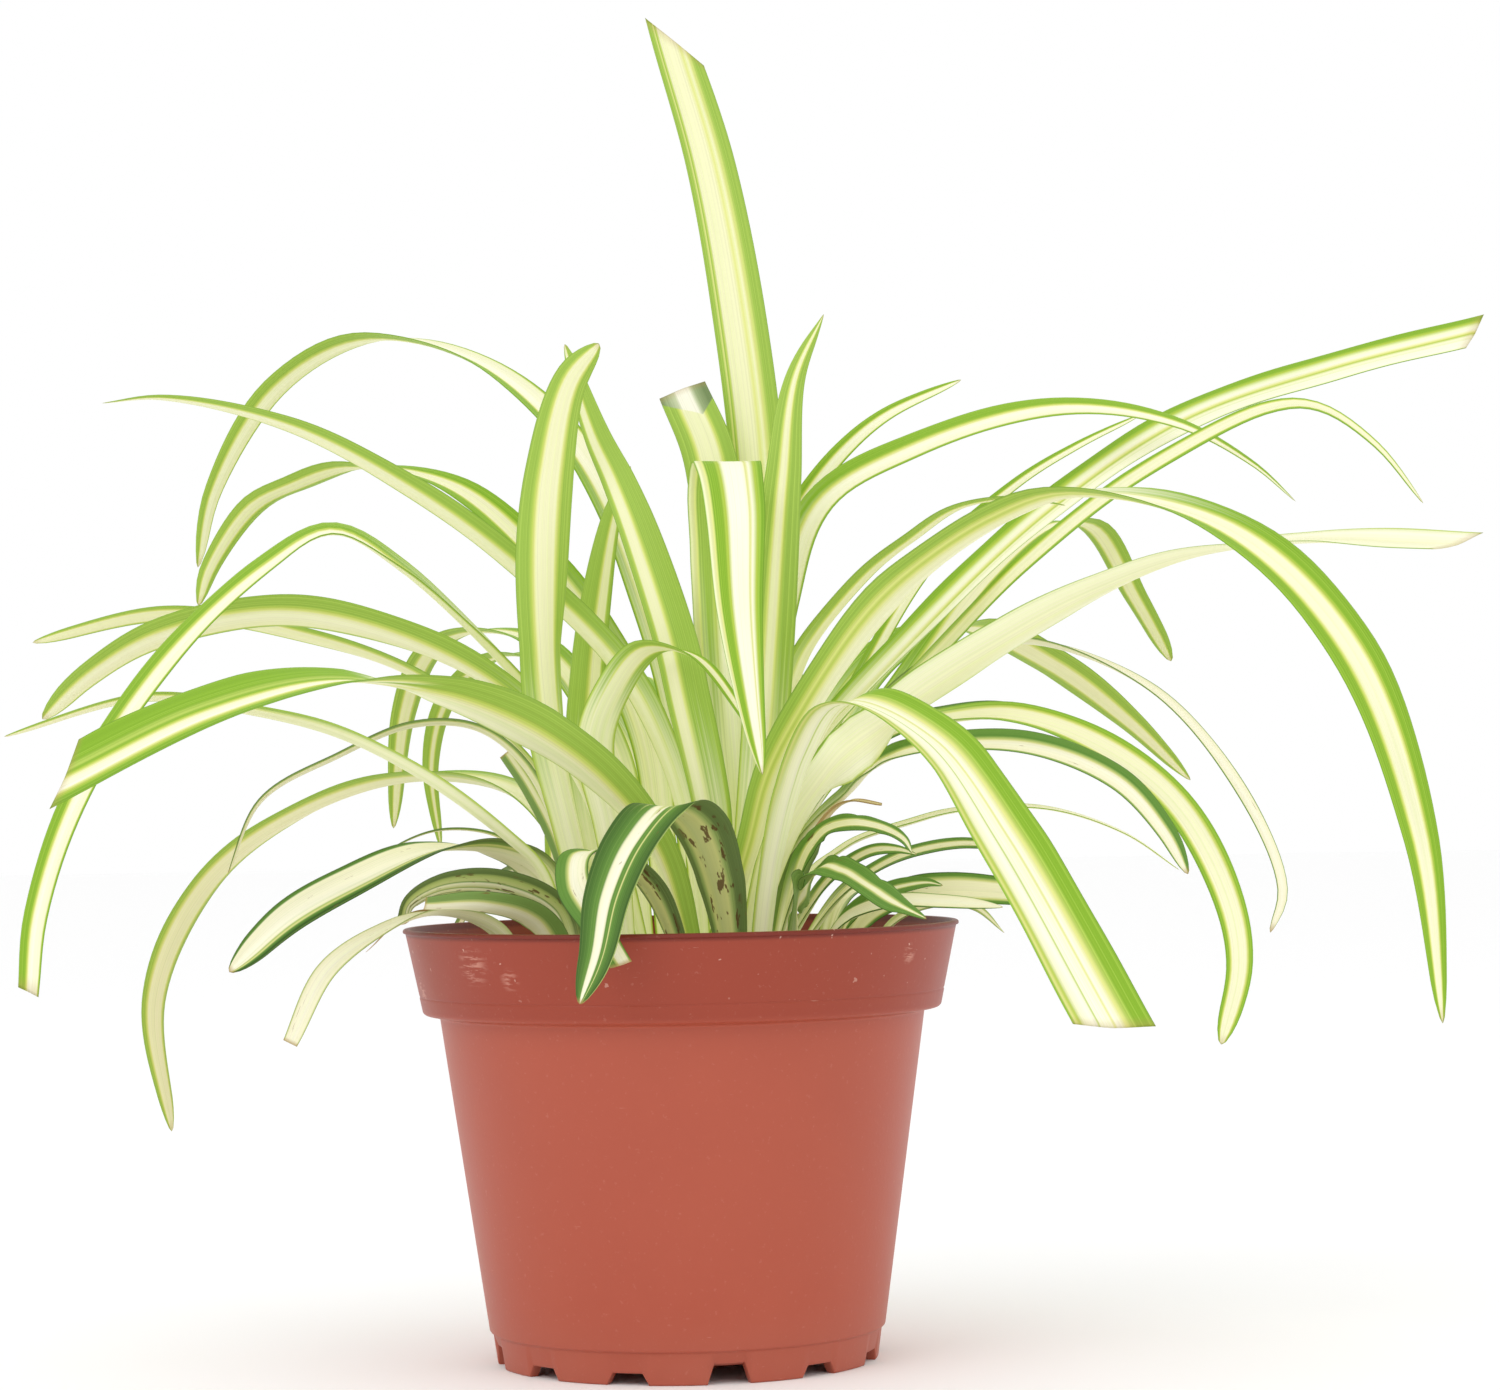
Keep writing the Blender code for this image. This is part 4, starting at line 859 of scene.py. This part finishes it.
def pot_section():
    """The pot's section as (radius, height), from the base's middle up the outside and down the inside."""
    low = FLOOR_TOP + 2 * MM
    flare = (BODY_TOP_RADIUS - BODY_FOOT_RADIUS) / (BODY_TOP - BODY_FOOT)
    low_inside = BODY_FOOT_RADIUS + flare * (low - BODY_FOOT) - WALL
    ledge = BODY_TOP + 1.5 * MM
    line = collar_radius(COLLAR_LINE)
    inside_top = collar_radius(COLLAR_TOP) - WALL
    return [
        (0, 0), (CHANNEL_INNER, 0), (CHANNEL_INNER + 0.3 * MM, CHANNEL_HEIGHT),
        (CHANNEL_OUTER - 0.3 * MM, CHANNEL_HEIGHT), (CHANNEL_OUTER, 0),
        (FOOT_RADIUS - 0.3 * MM, 0), (FOOT_RADIUS, 0.3 * MM),
        (BODY_FOOT_RADIUS - 0.8 * MM, BODY_FOOT - 0.5 * MM), (BODY_FOOT_RADIUS, BODY_FOOT),
        (BODY_TOP_RADIUS, BODY_TOP), (BODY_TOP_RADIUS + 0.3 * MM, BODY_TOP + 0.5 * MM),
        (COLLAR_FOOT_RADIUS - 0.5 * MM, COLLAR_FOOT - 0.5 * MM), (COLLAR_FOOT_RADIUS, COLLAR_FOOT),
        (line - 0.05 * MM, COLLAR_LINE - 0.3 * MM), (line - 0.2 * MM, COLLAR_LINE),
        (line, COLLAR_LINE + 0.3 * MM), (COLLAR_TOP_RADIUS, COLLAR_TOP),
        (RIM_RADIUS, COLLAR_TOP + 0.15 * MM), (RIM_RADIUS, POT_HEIGHT - 0.35 * MM),
        (RIM_RADIUS - 0.4 * MM, POT_HEIGHT), (inside_top + 0.3 * MM, POT_HEIGHT), (inside_top, COLLAR_TOP),
        (collar_radius(COLLAR_FOOT + MM) - WALL, COLLAR_FOOT + 1.4 * MM),
        (collar_radius(COLLAR_FOOT) - WALL - 0.6 * MM, COLLAR_FOOT + 0.6 * MM),
        (BODY_TOP_RADIUS - WALL + 0.5 * MM, ledge), (BODY_TOP_RADIUS - WALL, ledge - 0.6 * MM),
        (low_inside, low), (low_inside - 1.6 * MM, FLOOR_TOP), (0, FLOOR_TOP),
    ]


def notch_height(angle):
    """How high the foot ring is cut away at an angle from the front: a row of trapezoids."""
    pitch = 360 / NOTCH_COUNT
    number = np.round((angle - NOTCH_FIRST) / pitch)
    off = np.abs(angle - NOTCH_FIRST - number * pitch)
    top = np.where(number.astype(int) % DEEP_NOTCH_EVERY == 0, DEEP_NOTCH_HEIGHT, NOTCH_HEIGHT)
    slope = (NOTCH_HALF_ANGLE - off) / (NOTCH_HALF_ANGLE - NOTCH_TOP_HALF_ANGLE)
    return top * np.clip(slope, 0, 1)


def pot_shell():
    """The pot's shell: its section turned about Z, with the foot ring's low points raised at the notches."""
    section = rounded(pot_section(), CORNER_RADIUS)[::-1]
    steps = 720
    turn = full_turn(steps)
    rings = section[1:-1]
    radius, height = np.repeat(rings.T[..., None], steps, axis=2)
    lift = notch_height(np.degrees(turn))[None, :]
    foot = BODY_FOOT - 0.6 * MM
    outer = np.arange(len(rings))[:, None] > len(rings) / 2
    ring_part = outer & (radius > CHANNEL_OUTER - 0.4 * MM) & (radius < BODY_FOOT_RADIUS) & (height < foot)
    pressed = lift + height * (1 - lift / foot)
    raised = np.where(radius > CHANNEL_OUTER + 0.1 * MM, pressed, np.maximum(height, lift))
    height = np.where(ring_part, raised, height)
    points = np.stack([radius * np.sin(turn), -radius * np.cos(turn), height], axis=-1)
    return turned(points, (0, 0, section[0, 1]), (0, 0, section[-1, 1]))


def drain_rods():
    """Upright rods where the drains go, one by every deep notch."""
    turn = full_turn(48)
    vertices = []
    faces = []
    for number in range(0, NOTCH_COUNT, DEEP_NOTCH_EVERY):
        place = radians(NOTCH_FIRST + number * 360 / NOTCH_COUNT)
        x = DRAIN_REACH * np.sin(place) + DRAIN_RADIUS * np.cos(turn)
        y = -DRAIN_REACH * np.cos(place) + DRAIN_RADIUS * np.sin(turn)
        ends = np.stack([np.stack([x, y, np.full(len(turn), level)], axis=-1) for level in DRAIN_ENDS])
        rod, sides = turned(ends, *ends.mean(axis=1))
        faces += [[corner + len(rod) * len(vertices) for corner in side] for side in sides]
        vertices.append(rod)
    return np.vstack(vertices), faces


def make_pot():
    """The pot with its drains cut through the channel. The rods that cut them are removed again."""
    pot = new_piece("pot_shell", *pot_shell(), pot_finish(), "pot", ("pot",))
    rods = bpy.data.meshes.new("drain_rods")
    vertices, faces = drain_rods()
    rods.from_pydata(vertices.tolist(), [], faces)
    cutter = put("drain_rods", rods)
    cut = pot.modifiers.new("drains", "BOOLEAN")
    cut.operation = "DIFFERENCE"
    cut.solver = "EXACT"
    cut.object = cutter
    shown = pot.evaluated_get(bpy.context.evaluated_depsgraph_get())
    mesh = bpy.data.meshes.new_from_object(shown)
    pot.modifiers.remove(cut)
    pot.data = mesh
    bpy.data.objects.remove(cutter)
    mesh.set_sharp_from_angle(angle=radians(50))


def make_crown():
    """The crown: an oval dome whose surface is thrown into ridges by leaf bases set close together."""
    share = np.linspace(0, 1, 28)[1:, None]
    turn = full_turn(160)[None, :]
    ridge = np.sin(turn * 17 + 5 * share) * np.sin(turn * 5 + 9 * share) * 0.6
    ridge = ridge + np.sin(turn * 29 - 7 * share) * 0.3
    spread = 1 + 0.02 * ridge * share
    x = CROWN_LONG * share * np.cos(turn) * spread
    y = CROWN_SHORT * share * np.sin(turn) * spread
    z = SOIL_TOP + CROWN_RISE * np.sqrt(np.maximum(1 - share ** 2, 0)) + 0.7 * MM * ridge * share
    points = np.stack([x, y, z], axis=-1)
    low = SOIL_TOP - 6 * MM
    foot = points[-1:] * (1, 1, 0) + (0, 0, low)
    solid = turned(np.concatenate([points, foot]), (0, 0, SOIL_TOP + CROWN_RISE), (0, 0, low))
    new_piece("crown_bases", *solid, crown_finish(), "crown", ("crown",))


def lumps(x, y, draw):
    """Uneven ground: a sum of sine waves in seeded directions, shorter waves lower."""
    height = np.zeros_like(x)
    for size, tall, count in ((22, 0.5, 6), (9, 0.35, 8), (4, 0.25, 10), (2, 0.12, 12)):
        for turn, phase in draw.uniform(0, 2 * np.pi, (count, 2)):
            wave = 2 * np.pi / (size * MM) * (x * np.cos(turn) + y * np.sin(turn))
            height += tall * MM / count ** 0.5 * np.sin(wave + phase)
    return height


def make_soil():
    """The soil: a lumpy top in a plain turned body, with loose crumbs lying on it."""
    draw = np.random.default_rng(SOIL_SEED)
    outer = collar_radius(SOIL_TOP) - WALL - SOIL_CLEARANCE
    share = np.linspace(0, 1, 90)[1:, None]
    turn = full_turn(300)[None, :]
    x = outer * share * np.cos(turn)
    y = outer * share * np.sin(turn)
    z = SOIL_TOP + lumps(x, y, draw) * (1 - share ** 8)
    body = np.array(SOIL_SIDES)[:, None] * MM
    reach, height = np.broadcast_to(body, (3, turn.size, 2)).transpose(2, 0, 1)
    sides = np.stack([reach * np.cos(turn), reach * np.sin(turn), height], axis=-1)
    points = np.concatenate([np.stack([x, y, z], axis=-1), sides])
    vertices, faces = turned(points, (0, 0, SOIL_TOP), (0, 0, SOIL_SIDES[-1][1] * MM))
    crumb_points, crumb_faces = crumbs(draw, outer, len(vertices))
    vertices = np.vstack([vertices, crumb_points])
    new_piece("soil_crumbs", vertices, faces + crumb_faces.tolist(), soil_finish(), "soil", ("soil",), False)


def crumbs(draw, outer, start):
    """Many small uneven lumps. Each is an icosahedron, whose corners are those of three golden oblongs and
    whose sides join the corners that are nearest, with its corners drawn in or out."""
    count = CRUMB_COUNT
    long = (1 + 5 ** 0.5) / 2
    oblong = np.array([(-1, long, 0), (1, long, 0), (-1, -long, 0), (1, -long, 0)])
    corners = np.vstack([np.roll(oblong, shift, axis=1) for shift in range(3)]) / long
    near = 1.05 * 2 / long
    sides = []
    for side in combinations(range(12), 3):
        a, b, c = corners[list(side)]
        if max(np.linalg.norm([a - b, b - c, c - a], axis=1)) < near:
            sides.append(side if np.cross(a, b) @ c > 0 else side[::-1])
    sides = np.array(sides)
    reach = (outer - CRUMB_MARGIN) * np.sqrt(draw.uniform(0, 1, count))
    turn = draw.uniform(0, 2 * np.pi, count)
    size = CRUMB_LEAST + (CRUMB_MOST - CRUMB_LEAST) * draw.uniform(0, 1, count) ** 3
    place = np.stack([reach * np.cos(turn), reach * np.sin(turn), SOIL_TOP + size * 0.4], axis=1)
    stretch = draw.uniform(0.6, 1.3, (count, 1, 3))
    shape = corners[None] * draw.uniform(0.75, 1.2, (count, 12, 1)) * stretch * size[:, None, None]
    points = (place[:, None] + shape).reshape(-1, 3)
    faces = (sides[None] + np.arange(count)[:, None, None] * 12 + start).reshape(-1, 3)
    return points, faces


def make_stage():
    """A white floor, a white surround, soft lights and the camera."""
    mesh = bpy.data.meshes.new("floor")
    far = 6.0
    mesh.from_pydata([(-far, -far, 0), (far, -far, 0), (far, far, 0), (-far, far, 0)], [], [(0, 1, 2, 3)])
    finish = Finish("floor_white", 0.9, 0.1)
    finish.set("Base Color", (0.985, 0.985, 0.985, 1))
    mesh.materials.append(finish.material)
    put("floor", mesh)

    world = bpy.data.worlds.new("studio")
    world.use_nodes = True
    background = world.node_tree.nodes["Background"].inputs
    background["Color"].default_value = (1, 1, 1, 1)
    background["Strength"].default_value = 1.0
    bpy.context.scene.world = world
    bpy.context.scene.view_settings.view_transform = "Standard"

    add_light("key_light", (-0.7, -0.9, 1.1), size=0.9, power=4)
    add_light("fill_light", (0.9, -0.7, 0.6), size=1.0, power=1.5)

    camera = bpy.data.cameras.new("camera")
    camera.sensor_width = 36
    camera.lens = LENS
    holder = put("camera", camera)
    turn = Matrix.Rotation(radians(90 + PITCH), 4, "X") @ Matrix.Rotation(radians(ROLL), 4, "Z")
    holder.matrix_world = Matrix.Translation(CAMERA) @ turn
    bpy.context.scene.camera = holder


def add_light(name, place, size, power):
    """A soft square light that faces the plant."""
    light = bpy.data.lights.new(name, "AREA")
    light.size = size
    light.energy = power
    holder = put(name, light)
    holder.location = place
    holder.rotation_euler = (Vector((0, 0, 0.15)) - Vector(place)).to_track_quat("-Z", "Y").to_euler()


def main():
    make_pot()
    make_soil()
    make_crown()
    for seed, (name, row) in enumerate(LEAVES.items(), LEAF_SEED):
        make_leaf("leaf_" + name, row, seed)
    for seed, (name, row) in enumerate(WITHERED.items(), WITHERED_SEED):
        make_leaf(name, row, seed, "leaf_left_dark")
    make_stage()


main()
bpy.context.view_layer.update()
